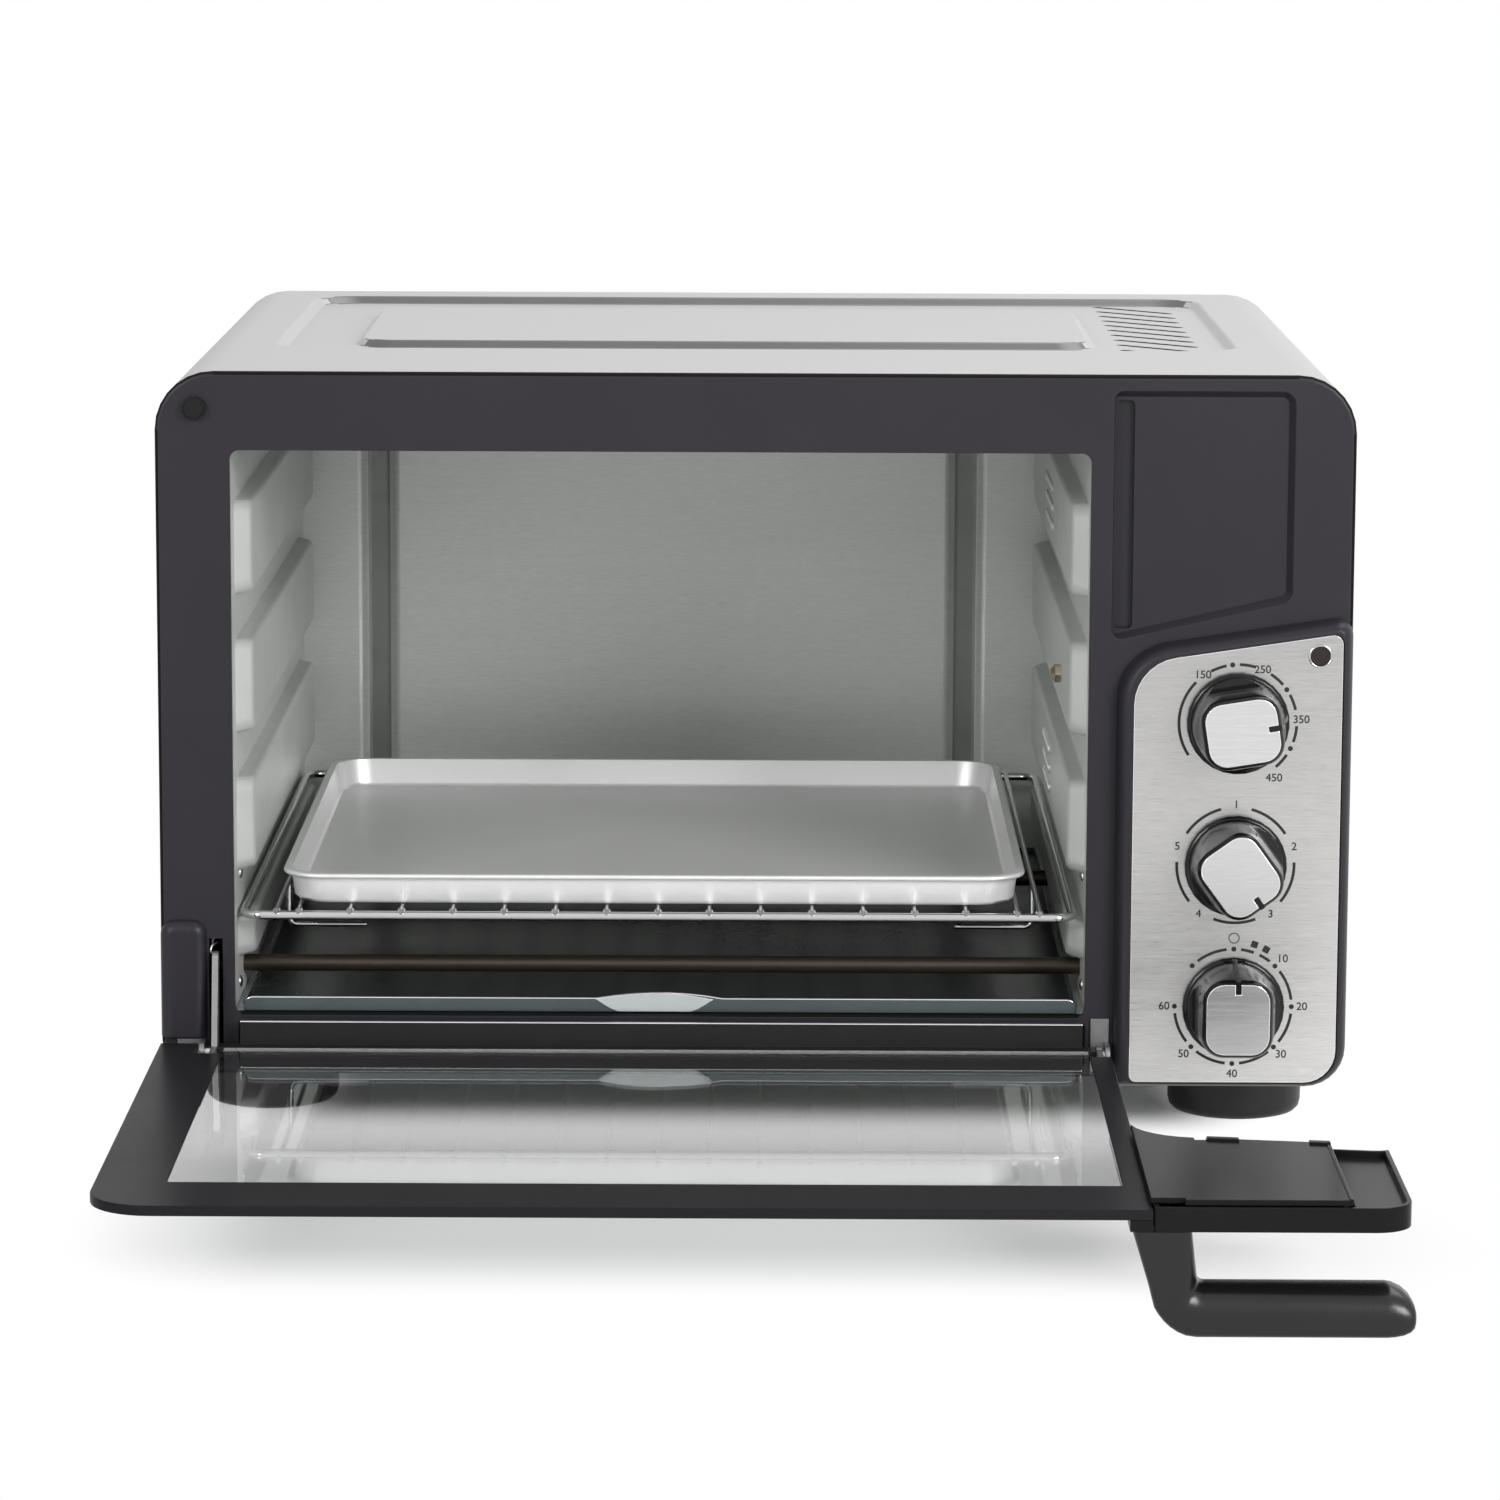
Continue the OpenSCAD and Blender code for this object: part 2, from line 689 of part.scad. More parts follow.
// Outline of one pressed pad, drawn in by an inset along the wall and across it
function pad_points(i, inset_y, inset_z, r) =
    let (
        high = ledge_low + i * ledge_pitch,
        low = i == 0 ? high - first_pad_h : high - ledge_pitch + groove_h
    )
    box_points([pad_front + inset_y, low + inset_z], [pad_rear - inset_y, high - inset_z], r, pad_steps);

// Hollow pad pressed out of a wall: side is 1 where the cavity lies towards +X
module pad(i, wall_x, side) {
    difference() {
        loft([at_x(pad_points(i, 0, 0, pad_r), wall_x - side * wall_t),
            at_x(pad_points(i, pad_slope, pad_side, pad_r), wall_x + side * pad_out)]);
        loft([at_x(pad_points(i, wall_t, wall_t, pad_r), wall_x - side * (wall_t + cut)),
            at_x(pad_points(i, pad_slope + wall_t, pad_side + wall_t, pad_r), wall_x + side * (pad_out - wall_t))]);
        children();
    }
}

// Flat sheet of a cavity wall with holes under its pads and for the heater rods
module wall_sheet(wall_x, side) {
    sideways(min(wall_x, wall_x - side * wall_t), max(wall_x, wall_x - side * wall_t)) difference() {
        translate([frame_t, floor_z]) square([rear_y - frame_t, ceiling_z - floor_z]);
        for (i = [0:pad_count - 1]) polygon(pad_points(i, wall_t / 2, wall_t / 2, pad_r));
        for (y = lower_heater_y) translate([y, lower_heater_z]) circle(heater_r + heater_gap);
        for (y = upper_heater_y) translate([y, upper_heater_z]) circle(heater_r + heater_gap);
    }
}

anchor_y = 120;
anchor_z = ledge_low + groove_h / 2 + 1;
anchor_len = 11;
anchor_half = 6;
anchor_t = 1.2;
anchor_foot = 14;

module left_wall() place() color([0.66, 0.69, 0.7]) union() {
    wall_sheet(cavity_left, 1);
    for (i = [0:pad_count - 1]) pad(i, cavity_left, 1);
}

// Bracket on the outside of the left wall that holds the far end of the door spring
module spring_bracket() place() color([0.7, 0.7, 0.7]) union() {
    translate([cavity_left - wall_t - anchor_len, anchor_y, anchor_z - anchor_half])
        cube([anchor_len, anchor_t, 2 * anchor_half]);
    translate([cavity_left - wall_t - anchor_t, anchor_y, anchor_z - anchor_half])
        cube([anchor_t, anchor_foot, 2 * anchor_half]);
}

vent_hole_r = 2;
vent_hole_pitch = 8;
vented_pads = [1, 3];

module right_wall() place() color([0.66, 0.69, 0.7]) union() {
    wall_sheet(cavity_right, -1);
    for (i = [0:pad_count - 1]) pad(i, cavity_right, -1)
        if (len(search(i, vented_pads)) > 0) for (row = [-1:1]) for (col = [-3:3])
            rod_x(cavity_right - pad_out - 2, cavity_right + 2, fan_y + (col + (row % 2) / 2) * vent_hole_pitch,
                ledge_low + i * ledge_pitch - (ledge_pitch - groove_h) / 2 + row * vent_hole_pitch, vent_hole_r);
}

module cavity_ceiling() place() color([0.66, 0.69, 0.7])
    translate([cavity_left - wall_t, frame_t, ceiling_z])
        cube([cavity_right - cavity_left + 2 * wall_t, rear_y - frame_t, wall_t]);

module cavity_floor() place() color([0.6, 0.62, 0.63])
    translate([cavity_left - wall_t, frame_t, floor_z - wall_t])
        cube([cavity_right - cavity_left + 2 * wall_t, rear_y - frame_t, wall_t]);

module heater(y, z) place() color([0.3, 0.24, 0.2]) union() {
    rod_x(cavity_left - wall_t - heater_out, cavity_right + wall_t + heater_out, y, z, heater_r);
    rod_x(cavity_left - wall_t - heater_out - 4, cavity_right + wall_t + heater_out + 4, y, z, 1.5);
}

module heater_lower_front() heater(lower_heater_y[0], lower_heater_z);
module heater_lower_rear() heater(lower_heater_y[1], lower_heater_z);
module heater_upper_front() heater(upper_heater_y[0], upper_heater_z);
module heater_upper_rear() heater(upper_heater_y[1], upper_heater_z);

module insulator(x, y, z) {
    difference() {
        rod_x(x, x + insulator_t, y, z, insulator_r);
        rod_x(x - 1, x + insulator_t + 1, y, z, heater_r + run_gap);
    }
}

module heater_insulators() place() color([0.9, 0.88, 0.84])
    for (x = [cavity_left - wall_t - insulator_t, cavity_right + wall_t]) {
        for (y = lower_heater_y) insulator(x, y, lower_heater_z);
        for (y = upper_heater_y) insulator(x, y, upper_heater_z);
    }

module fan_housing() place() color([0.6, 0.6, 0.6]) difference() {
    translate([fan_x, fan_y - fan_box / 2, fan_z - fan_box / 2]) cube([fan_box_d, fan_box, fan_box]);
    translate([fan_x - cut, fan_y - fan_box / 2 + fan_box_t, fan_z - fan_box / 2 + fan_box_t])
        cube([fan_box_d - fan_box_t + cut, fan_box - 2 * fan_box_t, fan_box - 2 * fan_box_t]);
    rod_x(fan_x, fan_x + fan_box_d + cut, fan_y, fan_z, fan_shaft_r + 1);
}

module fan_motor() place() color([0.45, 0.4, 0.33]) difference() {
    union() {
        rod_x(fan_x + fan_box_d, fan_x + fan_box_d + motor_len, fan_y, fan_z, motor_r * 0.6);
        translate([fan_x + fan_box_d + 8, fan_y - motor_r, fan_z - motor_r]) cube([14, 2 * motor_r, 2 * motor_r]);
        for (side = [-1, 1]) rod_x(fan_x + fan_box_d, fan_x + fan_box_d + 9, fan_y + side * (motor_r - 5), fan_z, 3);
    }
    rod_x(fan_x + fan_box_d - cut, fan_x + fan_box_d + motor_len - 4, fan_y, fan_z, fan_shaft_r + run_gap);
}

module fan_shaft() place() color([0.75, 0.75, 0.75])
    rod_x(fan_x + 4, fan_x + fan_box_d + motor_len - 5, fan_y, fan_z, fan_shaft_r);

fan_disc_x = fan_x + 12;
fan_blades = 8;

module fan_blade() place() color([0.7, 0.7, 0.7]) translate([0, fan_y, fan_z]) difference() {
    union() {
        rod_x(fan_disc_x, fan_disc_x + 1, 0, 0, fan_r);
        rod_x(fan_disc_x - 7, fan_disc_x + touch, 0, 0, 7);
        for (i = [0:fan_blades - 1]) rotate([i * 360 / fan_blades, 0, 0])
            translate([fan_disc_x - 8, fan_r * 0.45, -0.5]) cube([8 + touch, fan_r * 0.5, 1]);
    }
    rod_x(fan_disc_x - 8, fan_disc_x + 2, 0, 0, fan_shaft_r);
}

unit_d = 20;
switch_r = 16;
timer_w = 44;
timer_d = 24;
bell_r = 17;
bell_t = 5;
bell_out = 10;

// Threaded bush of a control unit, with the bore that its shaft turns in
module control_unit(z, depth) {
    difference() {
        union() {
            children();
            rod_y(knob_x, -plate_out + 0.5, web_y + touch, z, bush_r);
        }
        rod_y(knob_x, -plate_out - cut, web_y + depth - 3, z, shaft_r + run_gap);
    }
}

module unit_box(z, w, h, y0, y1) {
    upright(web_y + y0, web_y + y1) translate([knob_x, z]) polygon(centred_points(w, h, min(3, h / 2 - 0.2)));
}

module thermostat() place() color([0.82, 0.8, 0.76]) control_unit(knob_z[2], unit_d) {
    unit_box(knob_z[2], 32, 26, 0, 2);
    unit_box(knob_z[2], 22, 24, 2 - touch, unit_d);
    for (side = [-1, 1]) unit_box(knob_z[2] + side * 6, 34, 5, 8, 9);
}

module mode_switch() place() color([0.2, 0.2, 0.22]) control_unit(knob_z[1], unit_d) {
    rod_y(knob_x, web_y, web_y + unit_d, knob_z[1], switch_r);
    for (a = [0:60:300]) upright(web_y + unit_d - 2, web_y + unit_d + 8)
        translate([knob_x + 0.7 * switch_r * cos(a), knob_z[1] + 0.7 * switch_r * sin(a)])
            square([5, 0.8], center = true);
}

module timer_unit() place() color([0.7, 0.68, 0.6]) control_unit(knob_z[0], timer_d) {
    unit_box(knob_z[0], timer_w, timer_w, 0, timer_d);
    rod_y(knob_x, web_y + timer_d - touch, web_y + timer_d + bell_out, knob_z[0], shaft_r + 1);
    rod_y(knob_x, web_y + timer_d + bell_out - bell_t, web_y + timer_d + bell_out, knob_z[0], bell_r);
}

knob_base = -plate_out - 0.5;
cap_w = 26;
cap_h = 29.4;
cap_t = 0.9;
cap_r = 7.5;
cap_sunk = 0.5;
rib_width = 2;
scoop_r = 11;
scoop_at = 14.4;

// Width, height and corner radius of the knob at rising distances from the plate
knob_rings = [
    [0, knob_d, knob_d, knob_d / 2],
    [1.8, knob_d, knob_d, knob_d / 2],
    [2.5, knob_d - 1.2, knob_d - 1.2, knob_d / 2 - 0.6],
    [2.8, knob_d - 3, knob_d - 3, knob_d / 2 - 1.5],
    [0.3 * knob_len, knob_d - 4.5, knob_d - 4, knob_d / 2 - 2.3],
    [0.63 * knob_len, 0.2 * knob_d + 0.8 * cap_w + 3.3, 0.2 * knob_d + 0.8 * cap_h + 3.1, 13],
    [knob_len - 2.3, cap_w + 3.2, cap_h + 3.2, 9],
    [knob_len - 0.8, cap_w + 2.2, cap_h + 2.2, 8.5],
    [knob_len, cap_w + 0.8, cap_h + 0.8, 8]];

module knob(z, turn) place() color([0.16, 0.16, 0.17]) translate([knob_x, knob_base, z])
rotate([0, turn, 0]) difference() {
    union() {
        loft([for (k = knob_rings) at_y(centred_points(k[1], k[2], k[3] - 0.02), -k[0])]);
        sideways(-rib_width / 2, rib_width / 2) polygon([
            [-knob_len + 3, cap_h / 2 - 4], [-knob_len - 0.3, cap_h / 2 - 4], [-knob_len - 0.3, cap_h / 2 + 1.2],
            [-2.6, knob_d / 2 - 0.5], [-2.6, knob_d / 2 - 4]]);
    }
    upright(-knob_len - 1, -knob_len + cap_sunk) difference() {
        polygon(centred_points(cap_w + 2 * run_gap, cap_h + 2 * run_gap, cap_r));
        translate([-rib_width / 2 - run_gap, cap_h / 2 - 4 - run_gap]) square([rib_width + 2 * run_gap, 10]);
    }
    for (side = [-1, 1]) rod_z(side * (scoop_at + scoop_r), -0.52 * knob_len, -knob_d, knob_d, scoop_r);
    rod_y(0, -0.75 * knob_len, 1, 0, shaft_r);
}

module cap(z, turn) place() color([0.8, 0.8, 0.8]) translate([knob_x, knob_base, z]) rotate([0, turn, 0])
    upright(-knob_len + cap_sunk - cap_t, -knob_len + cap_sunk) difference() {
        polygon(centred_points(cap_w, cap_h, cap_r));
        translate([-rib_width / 2 - 2 * run_gap, cap_h / 2 - 4 - 2 * run_gap]) square([rib_width + 4 * run_gap, 10]);
    }

module shaft(z, depth) place() color([0.7, 0.7, 0.68])
    rod_y(knob_x, knob_base - 0.75 * knob_len, web_y + depth - 4, z, shaft_r);

module temp_knob() knob(knob_z[2], temp_rest);
module temp_cap() cap(knob_z[2], temp_rest);
module temp_shaft() shaft(knob_z[2], unit_d);
module mode_knob() knob(knob_z[1], mode_rest);
module mode_cap() cap(knob_z[1], mode_rest);
module mode_shaft() shaft(knob_z[1], unit_d);
module timer_knob() knob(knob_z[0], timer_rest);
module timer_cap() cap(knob_z[0], timer_rest);
module timer_shaft() shaft(knob_z[0], timer_d);

// Ear that holds a hinge pin, with a foot against the frame
module hinge_bracket(ear_x, foot_x0, foot_x1, foot_z0, foot_z1) {
    difference() {
        union() {
            sideways(ear_x, ear_x + ear_t) union() {
                translate([hinge_y, hinge_z]) circle(eye_r);
                translate([hinge_y, hinge_z - eye_r]) square([-hinge_y, 2 * eye_r]);
            }
            translate([foot_x0, -1.2, foot_z0]) cube([foot_x1 - foot_x0, 1.2, foot_z1 - foot_z0]);
        }
        rod_x(ear_x - 1, ear_x + ear_t + 1, hinge_y, hinge_z, pin_d / 2);
    }
}

module hinge_bracket_left() place() color([0.7, 0.7, 0.7])
    hinge_bracket(left_ear_x, left_ear_x - 10, left_ear_x + ear_t, hinge_z - 8, bump_low - 1);

module hinge_bracket_right() place() color([0.7, 0.7, 0.7])
    hinge_bracket(right_ear_x, right_arm_x - 2, right_ear_x + ear_t, hinge_z - 8, hinge_z + 14);

module hinge_pin_left() place() color([0.8, 0.8, 0.8])
    rod_x(left_ear_x, left_arm_x + arm_t - sheet_gap, hinge_y, hinge_z, pin_d / 2);

module hinge_pin_right() place() color([0.8, 0.8, 0.8])
    rod_x(right_arm_x + sheet_gap, right_ear_x + ear_t, hinge_y, hinge_z, pin_d / 2);

// Eye and strap of a hinge arm, drawn with the door closed
module arm_outline() {
    translate([hinge_y, hinge_z]) circle(eye_r);
    translate([glass_out, hinge_z]) square([glass_t, arm_top - hinge_z]);
}

horn_turn = atan2(-horn_drop, horn_reach);
horn_len = norm([horn_reach, horn_drop]);
horn_lean = asin((eye_r - horn_r) / horn_len);

module hinge_arm_left() opened() color([0.75, 0.75, 0.75]) difference() {
    sideways(left_arm_x, left_arm_x + arm_t) union() {
        arm_outline();
        translate([hinge_y, hinge_z]) rotate(horn_turn) union() {
            translate([horn_len, 0]) circle(horn_r);
            polygon([for (side = [-1, 1]) for (end = [0, 1])
                let (e = side > 0 ? 1 - end : end, r = 0.97 * (e > 0 ? horn_r : eye_r))
                [e * horn_len + r * sin(horn_lean), side * r * cos(horn_lean)]]);
        }
    }
    rod_x(left_arm_x - 1, left_arm_x + arm_t + 1, hinge_y, hinge_z, pin_d / 2 + run_gap);
}

module hinge_arm_right() opened() color([0.75, 0.75, 0.75]) difference() {
    sideways(right_arm_x, right_arm_x + arm_t) arm_outline();
    rod_x(right_arm_x - 1, right_arm_x + arm_t + 1, hinge_y, hinge_z, pin_d / 2 + run_gap);
}

module hinge_rail() opened() color([0.15, 0.15, 0.16]) union() {
    sideways(left_arm_x + arm_t, right_arm_x) polygon([
        [glass_out - rail_lip_t, rail_low], [glass_in, rail_low], [glass_in, rail_top], [glass_out, rail_top],
        [glass_out, rail_top + rail_lip], [glass_out - rail_lip_t, rail_top + rail_lip]]);
    sideways(rise_left, rise_right) translate([glass_in - touch, rail_low]) square([rise + touch, rise_t]);
}

module door_glass() opened() color([0.1, 0.1, 0.11]) difference() {
    upright(glass_out, glass_in) polygon(rounded(
        [[-hw, glass_low], [glass_right, glass_low], [glass_right, door_top], [-hw, door_top]], [2, 1, 1, top_r]));
    upright(glass_out - cut, glass_in + cut) {
        translate([left_ear_x - 1, -cut]) square([right_arm_x - left_ear_x, rail_top + cut]);
        translate([left_ear_x - 1, -cut]) square([left_arm_x + arm_t + 4 - left_ear_x, arm_top + cut]);
        translate([right_arm_x - 1, -cut]) square([20, arm_top + cut]);
    }
}

// Outline of the door's wing, drawn in by an inset
module wing_outline(inset) {
    difference() {
        polygon(rounded(
            [[wing_left + inset, panel_h / 2], [wing_right - inset, panel_h / 2],
             [wing_right - inset, door_top - inset], [wing_left + inset, door_top - inset]],
            [1, 1, wing_r - inset, 1]));
        polygon(panel_points(wing_gap + inset));
    }
}

wing_tab_low = panel_h - (hw - panel_left) * panel_slope - panel_r;

module flag_cover() opened() color([0.2, 0.2, 0.21]) union() {
    upright(wing_out, wing_skin) wing_outline(0);
    upright(wing_skin - touch, wing_edge) difference() {
        wing_outline(0);
        wing_outline(wing_wall);
    }
    upright(wing_skin - touch, wing_deck) intersection() {
        wing_outline(wing_wall - touch);
        translate([wing_plate_right + ridge_w, 0]) square([hw, body_h]);
    }
    upright(wing_out, glass_out) translate([glass_right - wing_tab, wing_tab_low])
        square([wing_tab + touch, door_top - wing_tab_low]);
    upright(wing_out, wing_skin) translate([glass_right - touch, wing_tab_low])
        square([wing_left - glass_right + 2 * touch, door_top - wing_tab_low]);
    upright(wing_skin - touch, wing_plate_y - wing_plate_t) intersection() {
        wing_outline(wing_wall - touch);
        for (x = [wing_left + 5, wing_plate_right - 4]) translate([x, 0]) square([rib_t, door_top - 9]);
    }
}

// Outline of the wing's inner plate, drawn in along the housing by an inset
module plate_outline(inset) {
    difference() {
        translate([wing_plate_left, panel_h / 2])
            square([wing_plate_right - wing_plate_left, wing_plate_top - panel_h / 2]);
        polygon(panel_points(wing_gap + inset));
        translate([wing_plate_left - cut, wing_plate_top - 3]) square([13, 3 + cut]);
        translate([notch_x, 0]) square([notch_w, panel_h - 5]);
    }
}

module flag_plate() opened() color([0.2, 0.2, 0.21]) union() {
    upright(wing_plate_y - wing_plate_t, wing_plate_y) plate_outline(0);
    upright(wing_plate_y - touch, wing_plate_y + clip_h) intersection() {
        plate_outline(clip_edge);
        polygon(panel_points(wing_gap + clip_d));
        for (x = clip_x) translate([x[0], 0]) square([x[1] - x[0], body_h]);
    }
    upright(wing_plate_y - touch, wing_plate_y + clip_h / 2) intersection() {
        plate_outline(clip_edge);
        translate([wing_plate_right - ridge_w, 0]) square([ridge_w, body_h]);
    }
}

handle_left = glass_right - wing_tab + 1;
handle_post = handle_left + 22;
handle_end = hw - 0.5;
handle_half = 10;
handle_z = door_top - handle_half;
handle_far = wing_out - handle_reach;
handle_near = handle_far + handle_t;

handle_bend = 11;
handle_edge = 2.5;
handle_back = 5;

// Pairs of points on the handle's outer and inner contour, with the half height and the inner rounding there
handle_stations = [
    [[handle_left, wing_out], [handle_post, wing_out], handle_half, 4],
    [[handle_left + 3.2, wing_out - 10.5], [handle_post + 0.9, wing_out - 8], handle_half, 4.5],
    [[handle_left + 6.2, wing_out - 20.5], [handle_post + 1.8, wing_out - 15], handle_half, 6],
    [[handle_left + 8.3, handle_far + 11.2], [handle_post + 2.3, handle_near + 3.5], handle_half, 8],
    [[handle_left + 10, handle_far + 8.4], [handle_post + 2.5, handle_near + 2.4], handle_half, 9.5],
    [[handle_left + 11.9, handle_far + 6], [handle_post + 2.9, handle_near + 1.4], handle_half, 10.5],
    [[handle_left + 14.2, handle_far + 3.8], [handle_post + 3.5, handle_near + 0.7], handle_half, handle_bend],
    [[handle_left + 17, handle_far + 1.9], [handle_post + 4.4, handle_near + 0.2], handle_half, handle_bend],
    [[handle_left + 20, handle_far + 0.6], [handle_post + 5.6, handle_near], handle_half, handle_bend],
    [[handle_left + 24, handle_far], [handle_post + 8, handle_near], handle_half, handle_bend],
    [[handle_end - 11, handle_far], [handle_end - 11, handle_near], handle_half, handle_bend],
    [[handle_end - 8, handle_far + 0.2], [handle_end - 8.6, handle_near - 0.4], handle_half, handle_bend],
    [[handle_end - 4.6, handle_far + 0.8], [handle_end - 5.2, handle_near - 1.9], handle_half - 0.2, 10],
    [[handle_end - 2, handle_far + 1.8], [handle_end - 2.4, handle_near - 4.2], handle_half - 0.8, 8],
    [[handle_end - 0.5, handle_far + 3], [handle_end - 0.6, handle_near - 7], handle_half - 2, 5],
    [[handle_end, handle_far + 4.2], [handle_end, handle_near - 9.2], handle_half - 3.5, 3]];

// Section between a point on the outer and one on the inner contour, most rounded at its inner front edge
function handle_section(station) =
    let (
        across = station[1] - station[0],
        half = station[2],
        most = 0.48 * norm(across),
        edge = min(handle_edge, most),
        outline = rounded([[0, -half], [norm(across), -half], [norm(across), half], [0, half]],
            [edge, min(handle_back, most), min(station[3], 2 * most - edge), edge], 6)
    )
    [for (p = outline) let (q = station[0] + unit(across) * p.x) [q.x, q.y, handle_z + p.y]];

module door_handle() opened() color([0.17, 0.17, 0.18]) loft([for (s = handle_stations) handle_section(s)]);

// Closed loop of wire with rounded corners, lying level
module wire_loop(low, high, z, r) {
    for (y = [low.y, high.y]) rod_x(low.x + rack_corner, high.x - rack_corner, y, z, r);
    for (x = [low.x, high.x]) rod_y(x, low.y + rack_corner, high.y - rack_corner, z, r);
    for (x = [0, 1]) for (y = [0, 1])
        translate([x == 0 ? low.x + rack_corner : high.x - rack_corner,
                y == 0 ? low.y + rack_corner : high.y - rack_corner, z])
            rotate([0, 0, x == 0 ? (y == 0 ? 180 : 90) : (y == 0 ? 270 : 0)])
                rotate_extrude(angle = 90) translate([rack_corner, 0]) circle(r);
}

rack_low = [rack_left + rack_r, rack_front + rack_r];
rack_high = [rack_right - rack_r, rack_front + rack_d - rack_r];
bar_pitch = (rack_high.x - rack_low.x - 2 * (bar_edge + end_bar_gap)) / (bar_count - 3);

// Place of a bar across the rack: the end bars stand closer to their neighbours
function bar_x(i) = i == 0 ? rack_low.x + bar_edge
    : i == bar_count - 1 ? rack_high.x - bar_edge
    : rack_low.x + bar_edge + end_bar_gap + (i - 1) * bar_pitch;

module wire_rack() place() color([0.8, 0.8, 0.82]) union() {
    wire_loop(rack_low, rack_high, rack_z, rack_r);
    for (i = [0:bar_count - 1])
        rod_y(bar_x(i), rack_low.y - 2.4, rack_high.y + 2.4, bar_z, bar_r);
}

hook_z = rack_z - hook_drop;
hook_y = rack_low.y + hook_in;

// Hook of wire that hangs from an end bar and runs inward, to one side
module rack_hook(x, side) {
    bend_x = x + side * hook_bend;
    end_x = x + side * hook_w;
    rod_z(x, hook_y, hook_z + hook_bend, bar_z - bar_r, hook_r);
    translate([bend_x, hook_y, hook_z + hook_bend]) rotate([90, 0, 0])
        rotate([0, 0, side > 0 ? 180 : 270]) rotate_extrude(angle = 90) translate([hook_bend, 0]) circle(hook_r);
    rod_x(min(bend_x, end_x), max(bend_x, end_x), hook_y, hook_z, hook_r);
}

module rack_loops() place() color([0.8, 0.8, 0.82]) {
    rack_hook(bar_x(0), 1);
    rack_hook(bar_x(bar_count - 1), -1);
}

pan_x = cavity_x - 3;
pan_low = [pan_x - pan_w / 2, pan_front];
pan_high = [pan_x + pan_w / 2, pan_front + pan_d];

// Level outline of the pan, drawn in by an inset
function pan_points(inset, z) =
    at_z(box_points(pan_low + [inset, inset], pan_high - [inset, inset], pan_r - inset / 2), z);

module baking_pan() place() color([0.82, 0.82, 0.83]) difference() {
    union() {
        loft([pan_points(pan_rim + pan_draft + 1.5, pan_z), pan_points(pan_rim + pan_draft, pan_z + 1.5),
            pan_points(pan_rim, pan_z + pan_h - 1)]);
        loft([for (a = [-90:30:90])
            pan_points(pan_rim_r * (1 - cos(a)), pan_z + pan_h - pan_rim_r + pan_rim_r * sin(a))]);
    }
    loft([pan_points(pan_rim + pan_draft + pan_t + 1.5, pan_z + pan_t),
        pan_points(pan_rim + pan_draft + pan_t, pan_z + pan_t + 1.5),
        pan_points(pan_rim + pan_t, pan_z + pan_h - 1),
        pan_points(pan_rim + pan_t - 0.2, pan_z + pan_h + cut)]);
}

tray_x = (tray_left + tray_right) / 2;
pull_r = (pull_w * pull_w / 4 + pull_h * pull_h) / (2 * pull_h);
tray_side = 3;

module crumb_tray() place() color([0.5, 0.54, 0.56]) union() {
    translate([tray_left, tray_front, tray_z]) cube([tray_right - tray_left, tray_rear - tray_front, tray_t]);
    for (x = [tray_left, tray_right - tray_t])
        translate([x, tray_front + tray_t, tray_z]) cube([tray_t, tray_rear - tray_front - tray_t, tray_side]);
    translate([tray_left, tray_rear - tray_t, tray_z]) cube([tray_right - tray_left, tray_t, tray_side]);
    upright(tray_front, tray_front + 1.5) union() {
        polygon(rounded([[tray_left, tray_z], [tray_right, tray_z], [tray_right, tray_z + tray_lip],
            [tray_left, tray_z + tray_lip]], [0.5, 0.5, 4, 4]));
        intersection() {
            translate([tray_x, tray_z + tray_lip + pull_h - pull_r]) circle(pull_r);
            translate([tray_left, tray_z]) square([tray_right - tray_left, tray_lip + pull_h + 1]);
        }
    }
}

spring_r = 3;
spring_wire = 0.6;
spring_turns = 14;
spring_sides = 6;
spring_steps = 8;
spring_x = left_arm_x + arm_t / 2;
spring_from = [spring_x, hinge_y + horn_drop, hinge_z + horn_reach];
spring_to = [spring_x, anchor_y, anchor_z];
spring_along = unit(spring_to - spring_from);
spring_first = spring_from + spring_along * (horn_r + sheet_gap + spring_wire);
spring_span = norm(spring_to - spring_first) - sheet_gap;
spring_side = [1, 0, 0];
spring_up = cross(spring_along, spring_side);

// Centre of the spring's wire and one ring round it, at a share of its length
function spring_radial(share) =
    let (a = 360 * spring_turns * share) spring_side * cos(a) + spring_up * sin(a);
function spring_point(share) =
    spring_first + spring_along * spring_span * share
    + spring_radial(share) * spring_r * min(1, 2 * spring_turns * share, 2 * spring_turns * (1 - share));
function spring_ring(share) = [for (j = [0:spring_sides - 1])
    let (a = 360 * j / spring_sides, out = spring_radial(share))
    spring_point(share) + spring_wire * (out * cos(a) + spring_along * sin(a))];

spring_rings = spring_turns * spring_steps;

module door_spring() place() color([0.7, 0.7, 0.7])
    loft([for (i = [0:spring_rings]) spring_ring(i / spring_rings)]);

outer_shell();
front_frame();
control_plate();
indicator_lens();
door_bumper();
left_wall();
right_wall();
cavity_ceiling();
cavity_floor();
rear_panel();
rear_spacers();
rear_screws();
cord_bush();
base_plate();
foot_front_left();
foot_front_right();
foot_rear_left();
foot_rear_right();
foot_screws();
heater_lower_front();
heater_lower_rear();
heater_upper_front();
heater_upper_rear();
heater_insulators();
fan_housing();
fan_motor();
fan_blade();
fan_shaft();
thermostat();
mode_switch();
timer_unit();
temp_knob();
temp_cap();
temp_shaft();
mode_knob();
mode_cap();
mode_shaft();
timer_knob();
timer_cap();
timer_shaft();
hinge_bracket_left();
hinge_bracket_right();
hinge_pin_left();
hinge_pin_right();
door_spring();
spring_bracket();
hinge_arm_left();
hinge_arm_right();
hinge_rail();
door_glass();
flag_cover();
flag_plate();
door_handle();
wire_rack();
rack_loops();
baking_pan();
crumb_tray();
